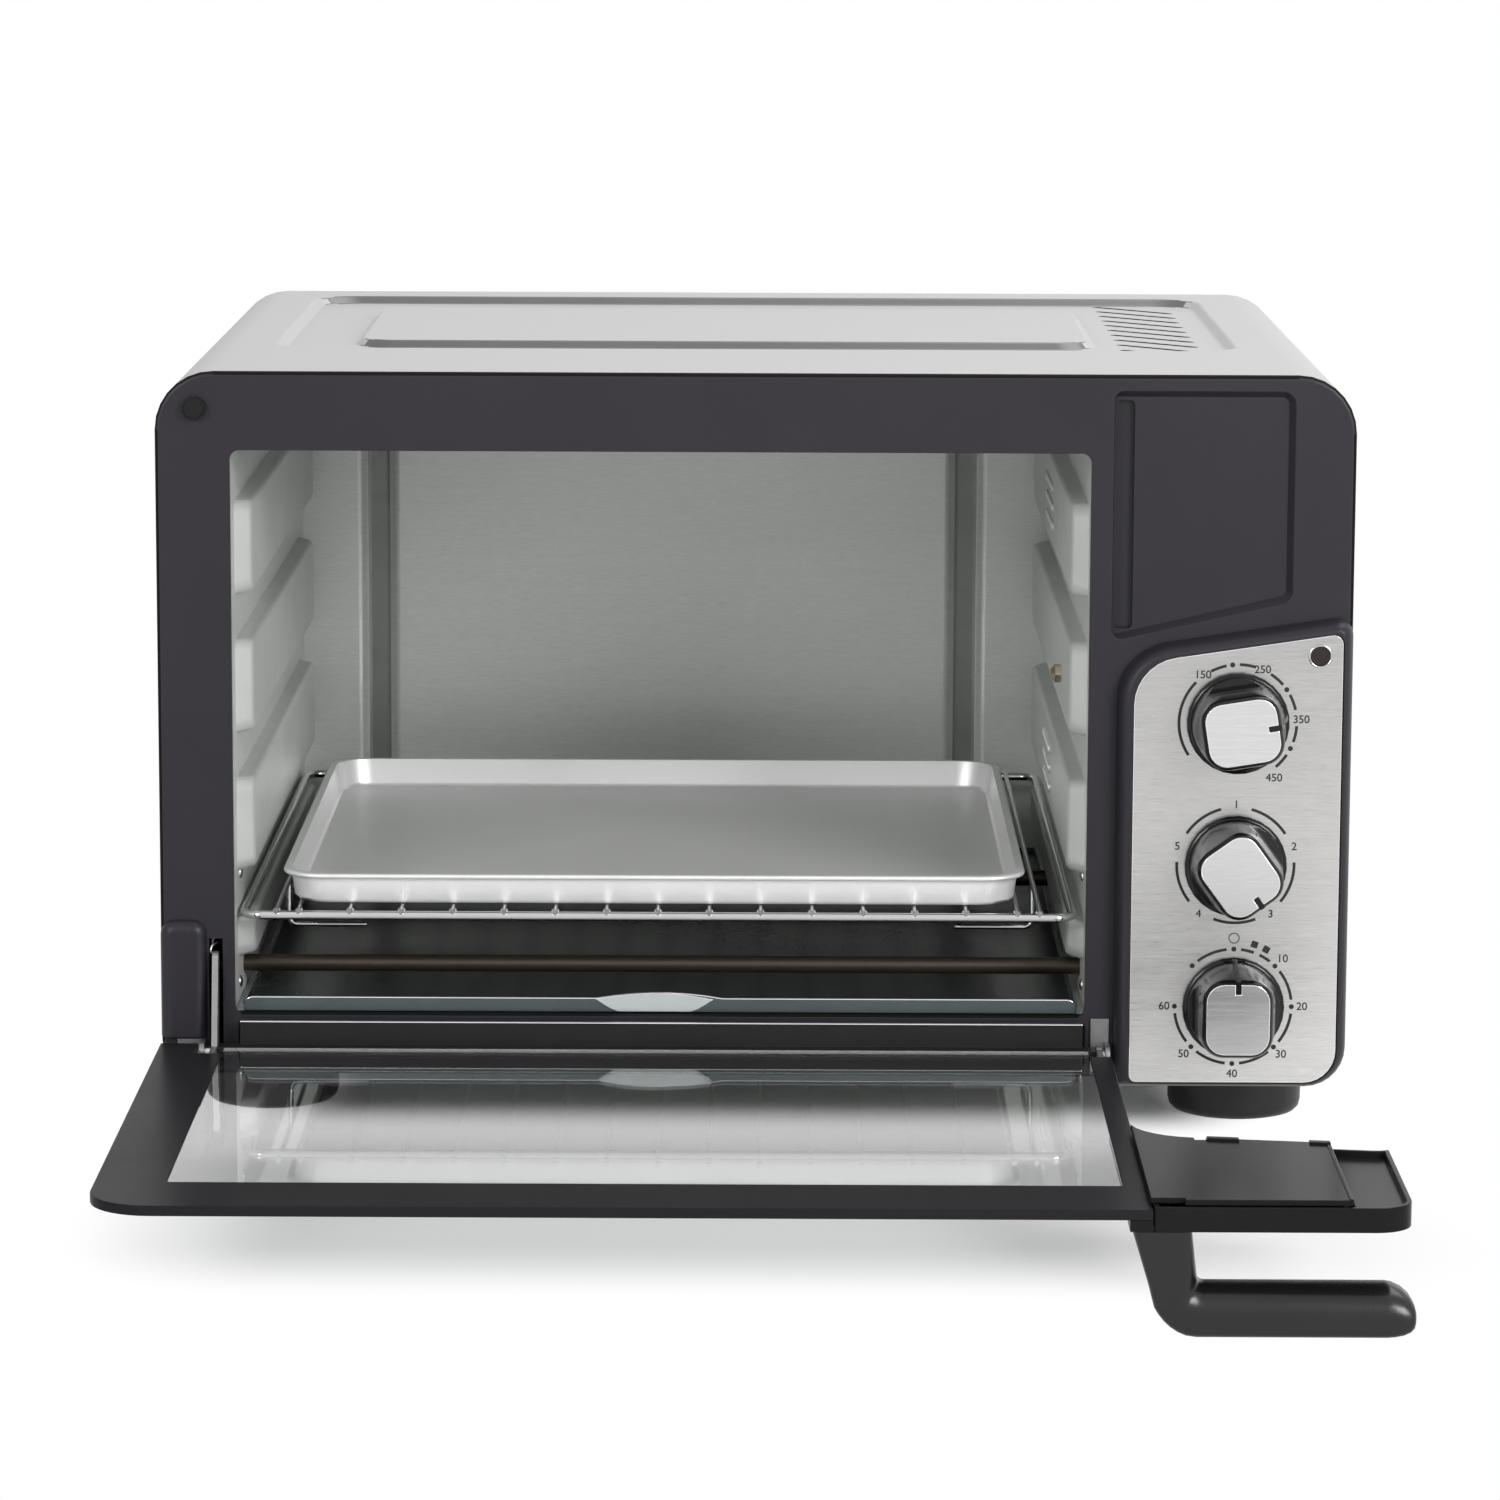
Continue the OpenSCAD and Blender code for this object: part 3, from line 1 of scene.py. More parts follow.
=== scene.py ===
"""Looks of the countertop oven: finishes, door pane, dial marks and studio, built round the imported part."""
import json
import math

import bmesh
import bpy
from mathutils import Matrix, Vector


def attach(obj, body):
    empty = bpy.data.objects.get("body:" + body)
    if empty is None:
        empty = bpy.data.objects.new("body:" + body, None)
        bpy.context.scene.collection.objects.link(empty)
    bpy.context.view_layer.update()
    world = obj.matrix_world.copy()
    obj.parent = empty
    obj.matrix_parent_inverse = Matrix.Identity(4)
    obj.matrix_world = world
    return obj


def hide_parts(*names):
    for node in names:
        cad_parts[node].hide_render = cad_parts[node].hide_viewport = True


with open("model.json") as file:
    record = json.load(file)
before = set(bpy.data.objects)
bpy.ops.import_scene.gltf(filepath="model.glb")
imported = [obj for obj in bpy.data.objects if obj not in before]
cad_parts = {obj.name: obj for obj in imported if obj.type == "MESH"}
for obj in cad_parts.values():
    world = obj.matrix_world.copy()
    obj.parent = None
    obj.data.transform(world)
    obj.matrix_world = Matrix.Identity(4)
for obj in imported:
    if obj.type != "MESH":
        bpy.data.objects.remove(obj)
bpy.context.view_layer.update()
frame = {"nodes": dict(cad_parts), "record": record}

# Body coordinates in millimetres: X from the centre plane, Y from the frame's face,
# Z from the body's lower edge.
MM = 0.001
FRONT_Y = -52.25
FOOT_H = 33.0
HINGE_Y = -8.0
HINGE_Z = 14.0

# Sizes that the marks, the pane and the small fittings share with the solids.
HALF_WIDTH = 245.0
KNOB_X = 197.7
KNOB_Z = {"temp": 153.4, "mode": 94.2, "timer": 35.0}
KNOB_TURN = {"temp": 81.0, "mode": 144.0, "timer": 0.0}
PLATE_FACE = -8.2
GLASS_IN = -5.0
GLASS_OUT = -9.0
DOOR_TOP = 290.5


def spot(x, y, z):
    """A point of the body, in the part's own frame."""
    return Vector((x, y + FRONT_Y, z + FOOT_H)) * MM


def swung(x, y, z):
    """A point of the door, given with the door closed, where it lies with the door open."""
    return spot(x, HINGE_Y - (z - HINGE_Z), HINGE_Z + (y - HINGE_Y))


# Shader building


def put(tree, kind, inputs=None, **settings):
    """Adds a node with its settings, and links or sets its inputs."""
    node = tree.nodes.new(kind)
    for name, value in settings.items():
        setattr(node, name, value)
    for name, value in (inputs or {}).items():
        if isinstance(value, bpy.types.NodeSocket):
            tree.links.new(value, node.inputs[name])
        else:
            node.inputs[name].default_value = value
    return node


def start_pattern(name):
    """An empty pattern group that takes a place and a scale and puts out three masks."""
    tree = bpy.data.node_groups.new(name, "ShaderNodeTree")
    tree.interface.new_socket("Place", in_out="INPUT", socket_type="NodeSocketVector")
    scale = tree.interface.new_socket("Scale", in_out="INPUT", socket_type="NodeSocketFloat")
    scale.default_value = 1.0
    for label in ("Colour", "Rough", "Height"):
        tree.interface.new_socket(label, in_out="OUTPUT", socket_type="NodeSocketFloat")
    return tree, put(tree, "NodeGroupInput"), put(tree, "NodeGroupOutput")


def scaled(tree, source, factor):
    """The group's scale times a factor."""
    inputs = {0: source.outputs["Scale"], 1: factor}
    return put(tree, "ShaderNodeMath", inputs, operation="MULTIPLY").outputs[0]


def noise(tree, place, scale, detail, rough=0.55):
    """The value of a noise texture."""
    inputs = {"Vector": place, "Scale": scale, "Detail": detail, "Roughness": rough}
    return put(tree, "ShaderNodeTexNoise", inputs).outputs["Fac"]


def averaged(tree, first, second, share):
    """Two values mixed, with the share of the second."""
    return put(tree, "ShaderNodeMix", {0: share, 2: first, 3: second}).outputs[0]


def close_pattern(tree, group_out, colour, rough, height):
    """Links three masks to the outputs of a pattern group."""
    for label, socket in (("Colour", colour), ("Rough", rough), ("Height", height)):
        tree.links.new(socket, group_out.inputs[label])
    return tree


def moulded_pattern():
    """Fine sparked texture of moulded plastic under faint handling marks."""
    tree, taken, given = start_pattern("moulded_texture")
    place = taken.outputs["Place"]
    grain = noise(tree, place, taken.outputs["Scale"], 3.0)
    cloud = noise(tree, place, scaled(tree, taken, 0.012), 3.0)
    colour = averaged(tree, grain, cloud, 0.7)
    rough = averaged(tree, cloud, grain, 0.35)
    return close_pattern(tree, given, colour, rough, grain)


def brushed_pattern():
    """Straight brush lines: the place is stretched along them by the material."""
    tree, taken, given = start_pattern("brushed_lines")
    place = taken.outputs["Place"]
    line = noise(tree, place, taken.outputs["Scale"], 5.0, 0.65)
    streak = noise(tree, place, scaled(tree, taken, 0.22), 3.0)
    colour = averaged(tree, line, streak, 0.22)
    rough = averaged(tree, streak, line, 0.5)
    return close_pattern(tree, given, colour, rough, line)


def spangle_pattern():
    """Zinc flakes of coated sheet steel, with rolled-in haze."""
    tree, taken, given = start_pattern("zinc_spangle")
    place = taken.outputs["Place"]
    cells = put(tree, "ShaderNodeTexVoronoi", {"Vector": place, "Scale": taken.outputs["Scale"]})
    flake = put(tree, "ShaderNodeSeparateColor", {"Color": cells.outputs["Color"]}).outputs[0]
    haze = noise(tree, place, scaled(tree, taken, 0.14), 4.0)
    fine = noise(tree, place, scaled(tree, taken, 9.0), 2.0)
    colour = averaged(tree, haze, flake, 0.25)
    rough = averaged(tree, haze, fine, 0.4)
    return close_pattern(tree, given, colour, rough, fine)


PATTERNS = {"moulded": moulded_pattern(), "brushed": brushed_pattern(), "spangle": spangle_pattern()}

# The part of the pattern's range over which the roughness runs from its lower to its upper value.
ROUGH_SPAN = {"From Min": 0.25, "From Max": 0.75}


def finish(name, pattern, tones, rough, scale, bump, stretch=(1, 1, 1), turn=(0, 0, 0), **shader):
    """A material whose pattern runs between two tones and two roughnesses; the bump is in metres."""
    material = bpy.data.materials.new(name)
    material.use_nodes = True
    tree = material.node_tree
    tree.nodes.clear()
    place = put(tree, "ShaderNodeTexCoord").outputs["Object"]
    mapped = put(tree, "ShaderNodeMapping", {"Vector": place, "Rotation": turn, "Scale": stretch})
    masks = put(tree, "ShaderNodeGroup", node_tree=PATTERNS[pattern])
    tree.links.new(mapped.outputs["Vector"], masks.inputs["Place"])
    masks.inputs["Scale"].default_value = scale
    dark, light = tones
    inputs = {0: masks.outputs["Colour"], 6: (*dark, 1.0), 7: (*light, 1.0)}
    colour = put(tree, "ShaderNodeMix", inputs, data_type="RGBA").outputs[2]
    inputs = {"Value": masks.outputs["Rough"], **ROUGH_SPAN, "To Min": rough[0], "To Max": rough[1]}
    gloss = put(tree, "ShaderNodeMapRange", inputs).outputs["Result"]
    inputs = {"Height": masks.outputs["Height"], "Strength": 1.0, "Distance": bump}
    relief = put(tree, "ShaderNodeBump", inputs)
    inputs = {"Base Color": colour, "Roughness": gloss, "Normal": relief.outputs["Normal"]}
    surface = put(tree, "ShaderNodeBsdfPrincipled", {**inputs, **shader})
    output = put(tree, "ShaderNodeOutputMaterial")
    tree.links.new(surface.outputs["BSDF"], output.inputs["Surface"])
    return material


def grey(value, warm=0.0):
    """A tone that is nearly grey, tilted to red or, below zero, to blue."""
    return (value * (1 + warm), value, value * (1 - warm))


def sheen(level):
    """The strength of a plain surface's reflection."""
    return {"Specular IOR Level": level}


BRUSH_ACROSS = 4600.0
BRUSH_ALONG = 130.0
BRUSH_STRETCH = (BRUSH_ALONG, BRUSH_ACROSS, BRUSH_ACROSS)
ROLLED_STRETCH = (160.0, 160.0, 1800.0)


def cap_finish(dial):
    """Brushed cap whose lines turn with its knob."""
    turn = (0, math.radians(KNOB_TURN[dial]), 0)
    return finish(dial + "_cap_steel", "brushed", (grey(0.55), grey(0.82)), (0.2, 0.28), 1.0, 0.000002,
                  BRUSH_STRETCH, turn, Metallic=1.0)


# Each finish: pattern, two tones, two roughnesses, scale of the pattern and height of its bump.
FINISHES = {
    "shell": finish("satin_shell_paint", "moulded", (grey(0.47), grey(0.53)), (0.42, 0.5),
                    1600.0, 0.000006, **sheen(0.25)),
    "shell_shade": finish("shaded_shell_slope", "moulded", (grey(0.11), grey(0.14)), (0.34, 0.42),
                          1600.0, 0.000006, Metallic=0.45),
    "frame": finish("charcoal_moulding", "moulded",
                    ((0.0168, 0.015, 0.0196), (0.024, 0.0217, 0.0272)), (0.36, 0.46),
                    1400.0, 0.00001, **sheen(0.24)),
    "border": finish("printed_border", "moulded",
                     ((0.0145, 0.0135, 0.0155), (0.0205, 0.0195, 0.0215)), (0.28, 0.38),
                     1400.0, 0.00001, **sheen(0.03)),
    "wing": finish("glossy_black_moulding", "moulded", (grey(0.01), grey(0.014)), (0.18, 0.26),
                   1400.0, 0.000006, **sheen(0.05)),
    "handle": finish("glossy_black_grip", "moulded", (grey(0.006), grey(0.009)), (0.22, 0.3),
                     1400.0, 0.000006, **sheen(0.42)),
    # Painted shade of gaps and slots: on the frame's rim and sill edge, the shell's vent sides and the cavity
    # floor's front strip.
    "painted_gap_shade": finish("painted_gap_shade_tone", "moulded", (grey(0.003), grey(0.005)), (0.6, 0.75),
                   1400.0, 0.00001, **sheen(0.1)),
    "plate": finish("brushed_plate_steel", "brushed", (grey(0.4, 0.01), grey(1.0, 0.01)), (0.24, 0.36),
                    1.0, 0.000006, BRUSH_STRETCH, Metallic=1.0),
    "knob": finish("graphite_knob", "moulded", (grey(0.005), grey(0.008)), (0.16, 0.24),
                   1800.0, 0.000004, **sheen(0.3)),
    # Painted highlight: a bright line along the front edges of the plate and caps, the hinge rail's top, the
    # tray's lip and the pull's top.
    "painted_highlight": finish("painted_highlight_metal", "moulded", (grey(0.82), grey(0.94)), (0.1, 0.2),
                          900.0, 0.000001, Metallic=0.8),
    "pull": finish("polished_pull", "moulded", ((0.42, 0.46, 0.46), (0.6, 0.64, 0.64)), (0.2, 0.3),
                   60.0, 0.000001, Metallic=0.5),
    "lens": finish("dark_lamp_lens", "moulded", ((0.006, 0.001, 0.001), (0.012, 0.002, 0.0015)), (0.08, 0.14),
                   900.0, 0.000002),
    "rubber": finish("black_rubber", "moulded", (grey(0.004), grey(0.008)), (0.5, 0.65),
                     1200.0, 0.000015, **sheen(0.2)),
    "foot": finish("black_foot_moulding", "moulded", (grey(0.009), grey(0.015)), (0.36, 0.5),
                   1300.0, 0.00001, **sheen(0.3)),
    "cavity": finish("galvanised_cavity", "spangle", ((0.6, 0.62, 0.6), (0.72, 0.74, 0.72)), (0.34, 0.5),
                     90.0, 0.000004, Metallic=0.35),
    "rolled": finish("rolled_rear_sheet", "brushed", ((0.48, 0.5, 0.475), (0.84, 0.86, 0.83)), (0.34, 0.48),
                     1.0, 0.000003, ROLLED_STRETCH, Metallic=0.35),
    "rib_shade": finish("shaded_rib_steel", "spangle", ((0.2, 0.21, 0.2), (0.28, 0.29, 0.28)), (0.34, 0.5),
                        90.0, 0.000004, Metallic=0.35),
    "zinc": finish("dull_zinc", "spangle", (grey(0.2), grey(0.28)), (0.36, 0.48),
                   300.0, 0.000004, Metallic=0.8),
    "steel": finish("plain_steel", "moulded", (grey(0.5), grey(0.62)), (0.22, 0.34),
                    700.0, 0.000004, Metallic=1.0),
    "heater": finish("oxidised_heater", "moulded", ((0.035, 0.027, 0.021), (0.07, 0.054, 0.042)), (0.34, 0.5),
                     600.0, 0.000008, Metallic=0.6),
    "ceramic": finish("off_white_ceramic", "moulded", ((0.7, 0.67, 0.6), (0.8, 0.78, 0.72)), (0.4, 0.55),
                      800.0, 0.00001),
    "unit": finish("tan_unit_case", "moulded", ((0.32, 0.28, 0.2), (0.42, 0.38, 0.3)), (0.4, 0.5),
                   800.0, 0.00001),
    "rail": finish("black_rail_paint", "moulded", (grey(0.011), grey(0.017)), (0.34, 0.46),
                   1500.0, 0.000005, **sheen(0.15)),
    "chrome": finish("bright_chrome", "moulded", (grey(0.52), grey(0.64)), (0.06, 0.14),
                     500.0, 0.000002, Metallic=1.0),
    "pan": finish("satin_aluminium", "moulded", (grey(0.74), grey(0.82)), (0.34, 0.44),
                  1500.0, 0.000006, Metallic=0.4),
    "tray": finish("coated_tray", "spangle", ((0.016, 0.018, 0.019), (0.028, 0.031, 0.032)), (0.2, 0.3),
                   90.0, 0.000003, Metallic=0.2),
    "tray_lip": finish("tray_lip_steel", "spangle",
                       ((0.06, 0.078, 0.081), (0.085, 0.106, 0.109)), (0.3, 0.42),
                       90.0, 0.000003, Metallic=0.5),
    "ink": finish("dial_ink", "moulded", (grey(0.004), grey(0.007)), (0.5, 0.6),
                  1500.0, 0.000002),
    "gloss_border": finish("black_printed_glass", "moulded", (grey(0.008), grey(0.012)), (0.02, 0.05),
                           300.0, 0.0000005),
    "brass": finish("plated_brass_fitting", "moulded", ((0.5, 0.44, 0.33), (0.66, 0.59, 0.46)), (0.22, 0.34),
                    900.0, 0.000004, Metallic=1.0),
}
for dial in KNOB_Z:
    FINISHES[dial + "_cap"] = cap_finish(dial)


# How much light each face of the pane lets straight through.
PANE_CLEAR = (0.81, 0.83, 0.82, 1.0)


def node_of(tree, kind):
    """The first node of a kind."""
    return next(n for n in tree.nodes if n.type == kind)


def pane_glass():
    """Clear glass with faint wiping marks, which lets lamp light and scattered light straight through."""
    material = finish("door_pane_glass", "moulded", (grey(0.96), grey(1.0)), (0.0, 0.02), 400.0, 0.0000002,
                      **{"Transmission Weight": 1.0, "IOR": 1.5})
    tree = material.node_tree
    surface = node_of(tree, "BSDF_PRINCIPLED")
    output = node_of(tree, "OUTPUT_MATERIAL")
    clear = put(tree, "ShaderNodeBsdfTransparent", {"Color": PANE_CLEAR})
    light = put(tree, "ShaderNodeLightPath")
    inputs = {0: light.outputs["Is Shadow Ray"], 1: light.outputs["Is Diffuse Ray"]}
    straight = put(tree, "ShaderNodeMath", inputs, operation="MAXIMUM")
    inputs = {0: straight.outputs[0], 1: surface.outputs["BSDF"], 2: clear.outputs["BSDF"]}
    mixed = put(tree, "ShaderNodeMixShader", inputs)
    tree.links.new(mixed.outputs["Shader"], output.inputs["Surface"])
    return material


FINISHES["glass"] = pane_glass()

# Heights in metres between which the plate's painted reflection of the floor falls from its lower level to
# its upper one.
PLATE_REFLECTION = {"From Min": 0.04, "From Max": 0.22, "To Min": 1.0, "To Max": 0.66}


def paint_plate_reflection():
    """Paints the reflection of the floor on the control plate: its tone falls off towards its top."""
    tree = FINISHES["plate"].node_tree
    surface = node_of(tree, "BSDF_PRINCIPLED")
    brushed = surface.inputs["Base Color"].links[0].from_socket
    place = put(tree, "ShaderNodeTexCoord").outputs["Object"]
    height = put(tree, "ShaderNodeSeparateXYZ", {"Vector": place}).outputs["Z"]
    level = put(tree, "ShaderNodeMapRange", {"Value": height, **PLATE_REFLECTION}).outputs["Result"]
    inputs = {0: 1.0, 6: brushed, 7: level}
    faded = put(tree, "ShaderNodeMix", inputs, data_type="RGBA", blend_type="MULTIPLY")
    tree.links.new(faded.outputs[2], surface.inputs["Base Color"])


paint_plate_reflection()


# Mesh work


def show(name, mesh, finishes, body, stands_for=(), smooth=40.0):
    """Turns a bmesh into a finished piece that rides on a body."""
    limit = math.radians(smooth)
    for face in mesh.faces:
        face.smooth = True
    for edge in mesh.edges:
        edge.smooth = len(edge.link_faces) == 2 and edge.calc_face_angle() < limit
    data = bpy.data.meshes.new(name)
    mesh.to_mesh(data)
    mesh.free()
    for label in finishes:
        data.materials.append(FINISHES[label])
    piece = bpy.data.objects.new(name, data)
    bpy.context.scene.collection.objects.link(piece)
    weighted = piece.modifiers.new("even_normals", "WEIGHTED_NORMAL")
    weighted.keep_sharp = True
    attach(piece, body)
    if stands_for:
        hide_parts(*stands_for)
    return piece


def soften(mesh, width, segments, sharper=35.0, chosen=None):
    """Rounds the edges that turn by more than an angle, or those of them that are chosen."""
    limit = math.radians(sharper)
    edges = [e for e in mesh.edges if len(e.link_faces) == 2 and e.calc_face_angle() > limit]
    if chosen:
        edges = [e for e in edges if chosen(e)]
    bmesh.ops.bevel(mesh, geom=edges, offset=width * MM, offset_type="OFFSET", segments=segments, profile=0.5,
                    affect="EDGES", material=-1, clamp_overlap=False)


# Points nearer than this are merged, and faces that turn by less than this are joined.
MERGE_NEAR = 0.002 * MM
FLAT_TURN = math.radians(0.6)
# A face whose normal is beyond this along Y looks straight to the front.
FLAT_FRONT = -0.97


def taken_from(node):
    """A merged copy of a node's mesh, with its flat faces whole."""
    mesh = bmesh.new()
    mesh.from_mesh(frame["nodes"][node].data)
    bmesh.ops.remove_doubles(mesh, verts=mesh.verts, dist=MERGE_NEAR)
    bmesh.ops.dissolve_limit(mesh, angle_limit=FLAT_TURN, verts=mesh.verts, edges=mesh.edges)
    return mesh


BODY_OF = {n: b for b, nodes in frame["record"]["behaviour"]["bodies"].items() for n in nodes}
SLOT_OF = {s["node"]: s["material_slot"] for s in frame["record"]["subparts"]}

# Edge rounding in millimetres for each node; nodes that aren't named take the plain width.
PLAIN_EDGE = 0.25
EDGES = {
    "front_frame": 0.3, "control_plate": 0.45, "door_bumper": 0.3, "foot_front_left": 0.6,
    "foot_front_right": 0.6, "foot_rear_left": 0.6, "foot_rear_right": 0.6, "flag_cover": 0.4,
    "flag_plate": 0.3, "hinge_rail": 0.4, "crumb_tray": 0.4, "wire_rack": 0.0, "rack_loops": 0.0,
    "baking_pan": 0.0, "door_spring": 0.0, "door_handle": 0.0, "temp_knob": 0.2, "mode_knob": 0.2,
    "timer_knob": 0.2, "temp_cap": 0.4, "mode_cap": 0.4, "timer_cap": 0.4, "left_wall": 0.15,
    "right_wall": 0.15,
}
# Nodes whose finish isn't the one of their material slot or of their own name.
SPECIAL = {
    "rear_panel": "rolled", "hinge_arm_left": "zinc", "hinge_arm_right": "zinc",
    "hinge_bracket_left": "zinc", "hinge_bracket_right": "zinc", "door_handle": "handle",
    "flag_cover": "wing", "flag_plate": "wing",
}

# Shell: where its top begins, where its front rim ends, the half width of its flat top and its folds.
SHELL_TOP = spot(0, 0, 280.0).z
SHELL_RIM = spot(0, 20.0, 0).y
SHELL_FLAT = 210.0 * MM
SHELL_FOLD = 0.9
SLOPE_LIMIT = math.radians(75.0)
# Knobs: from where and how wide the pointer is, and the depth of the front edges that stay sharp.
POINTER_FROM = 10.0
POINTER_HALF = 4.0
KNOB_FRONT = spot(0, -35.0, 0).y
# Front frame: its outline, the rounding of its rim and the height of the sill, where painted shade of a gap
# goes on the rim and the sill's top edge.
FRAME_FACE = spot(0, 0, 0).y
FRAME_ROUNDED_TO = spot(0, 1.0, 0).y
FRAME_RIM = 1.2
RIM_NEAR = 0.2
RIM_DEEP = 3.0 * MM
FACE_NEAR = 0.05 * MM
BODY_H = 295.0
TOP_R = 24.0
BOTTOM_R = 17.0
SILL_Z = spot(0, 0, 28.0).z
SILL_NEAR = 0.6 * MM
# Rear panel: the middles of its two ribs, the half widths of a rib and of its floor, its least depth,
# and the rounding of its edges with the turn from which they are rounded.
RIBS = (-179.0, 99.5)
RIB_HALF = 11.0
RIB_FLOOR = 7.5
RIB_DEPTH = 2.0
RIB_EDGE = 1.5
RIB_TURN = 20.0
# Side walls: the middle of the cavity, the half width that holds their pressings and the rounding of these.
CAVITY_MIDDLE = -38.75
WALL_INNER = 172.0
WALL_EDGE = 1.9
FOLD_TURN = 25.0
# Hinge rail and crumb tray: where their painted highlights along the edge begin.
RISE_TOP = spot(0, 0, 26.3).z
LIP_BACK = spot(0, 7.6, 0).y
LIP_TOP = spot(0, 0, 33.6).z


def middle(edge):
    """The middle of an edge."""
    return (edge.verts[0].co + edge.verts[1].co) / 2


def off_pointer(dial):
    """Chooses the edges of a knob that are clear of its pointer."""
    turn = math.radians(KNOB_TURN[dial])
    along = Vector((math.sin(turn), 0, math.cos(turn)))
    centre = spot(KNOB_X, 0, KNOB_Z[dial])

    def chosen(edge):
        away = (middle(edge) - centre) / MM
        away.y = 0
        reach = away.dot(along)
        clear = reach < POINTER_FROM or (away - along * reach).length > POINTER_HALF
        return clear and middle(edge).y > KNOB_FRONT

    return chosen


def rim_distance(point):
    """How far a point lies inside the body's front outline, in millimetres."""
    height = point.z / MM - FOOT_H
    radius = TOP_R if height > BODY_H / 2 else BOTTOM_R
    across = max(abs(point.x) / MM - (HALF_WIDTH - radius), 0)
    up = max(height - (BODY_H - radius), radius - height, 0)
    return radius - math.hypot(across, up)


def shade_rim(mesh):
    """Rounds the frame's front outline and paints the shade of a gap on that rim and on the sill's top edge.
    """

    def on_outline(edge):
        return abs(middle(edge).y - FRAME_FACE) < FACE_NEAR and rim_distance(middle(edge)) < RIM_NEAR

    soften(mesh, FRAME_RIM, 3, chosen=on_outline)
    for face in mesh.faces:
        centre = face.calc_center_median()
        outside = face.normal.y > FLAT_FRONT and rim_distance(centre) < FRAME_RIM
        rim = outside and FRAME_FACE - FACE_NEAR < centre.y < FRAME_FACE + RIM_DEEP
        sill = face.normal.z > 0.3 and abs(centre.z - SILL_Z) < SILL_NEAR
        face.material_index = int(rim or sill)


def shade_slopes(mesh):
    """Paints shade on the front-facing slopes of the shell's top, and the darker shade of a gap on its vents'
    sides.
    """
    for face in mesh.faces:
        centre = face.calc_center_median()
        facing = face.normal.y < -0.3 and abs(face.normal.x) < 0.5
        in_vent = abs(face.normal.z) < 0.3 and centre.y > SHELL_RIM and abs(centre.x) < SHELL_FLAT
        on_top = centre.z > SHELL_TOP
        face.material_index = (2 if in_vent else int(facing)) if on_top else 0


def rib_offset(point):
    """How far a point lies from the middle of the nearer rib, in millimetres."""
    return min(abs(point.x / MM - x) for x in RIBS)


def shade_ribs(mesh):
    """Gives the sunken floors of the rear panel's ribs, on the cavity's side, the shaded tone."""
    sunken = min(v.co.y for v in mesh.verts) + RIB_DEPTH * MM
    for face in mesh.faces:
        centre = face.calc_center_median()
        on_rib = rib_offset(centre) < RIB_FLOOR
        face.material_index = int(on_rib and face.normal.y < -0.9 and centre.y > sunken)


def set_front_strip(mesh):
    """Gives the faces in front of the crumb tray's lip the second finish: painted shade of a gap on the
    cavity floor's front strip, and the lip's own tone on the tray.
    """
    for face in mesh.faces:
        face.material_index = int(face.calc_center_median().y < LIP_BACK)


def on_shell_top(edge):
    return middle(edge).z > SHELL_TOP


def on_shell_vent(edge):
    return on_shell_top(edge) and middle(edge).y > SHELL_RIM and edge.calc_face_angle() > SLOPE_LIMIT


def on_shell_fold(edge):
    return on_shell_top(edge) and edge.calc_face_angle() < SLOPE_LIMIT


def on_wall_pressing(edge):
    return abs(middle(edge).x / MM - CAVITY_MIDDLE) < WALL_INNER


def rounded_edges(node):
    """Which edges of a node are rounded: all of them where nothing else is said."""
    if node == "front_frame":
        return lambda e: e.is_convex and middle(e).y < FRAME_ROUNDED_TO
    if node == "outer_shell":
        return on_shell_vent
    if node in ("flag_cover", "flag_plate"):
        return lambda e: e.is_convex
    if node.endswith("_knob"):
        return off_pointer(node.removesuffix("_knob"))
    return None


def tilted(normal, centre):
    """Whether a face belongs to the rounded edge of a plate that faces the front."""
    return FLAT_FRONT < normal.y < -0.15


# Faces that get a painted highlight, a bright line along an edge.
PAINTED_HIGHLIGHTS = {
    "control_plate": tilted, "temp_cap": tilted, "mode_cap": tilted, "timer_cap": tilted,
    "hinge_rail": lambda normal, centre: centre.z > RISE_TOP and normal.z > 0.2,
    "crumb_tray": lambda normal, centre: centre.z > LIP_TOP and normal.z > 0.2 and centre.y < LIP_BACK,
}


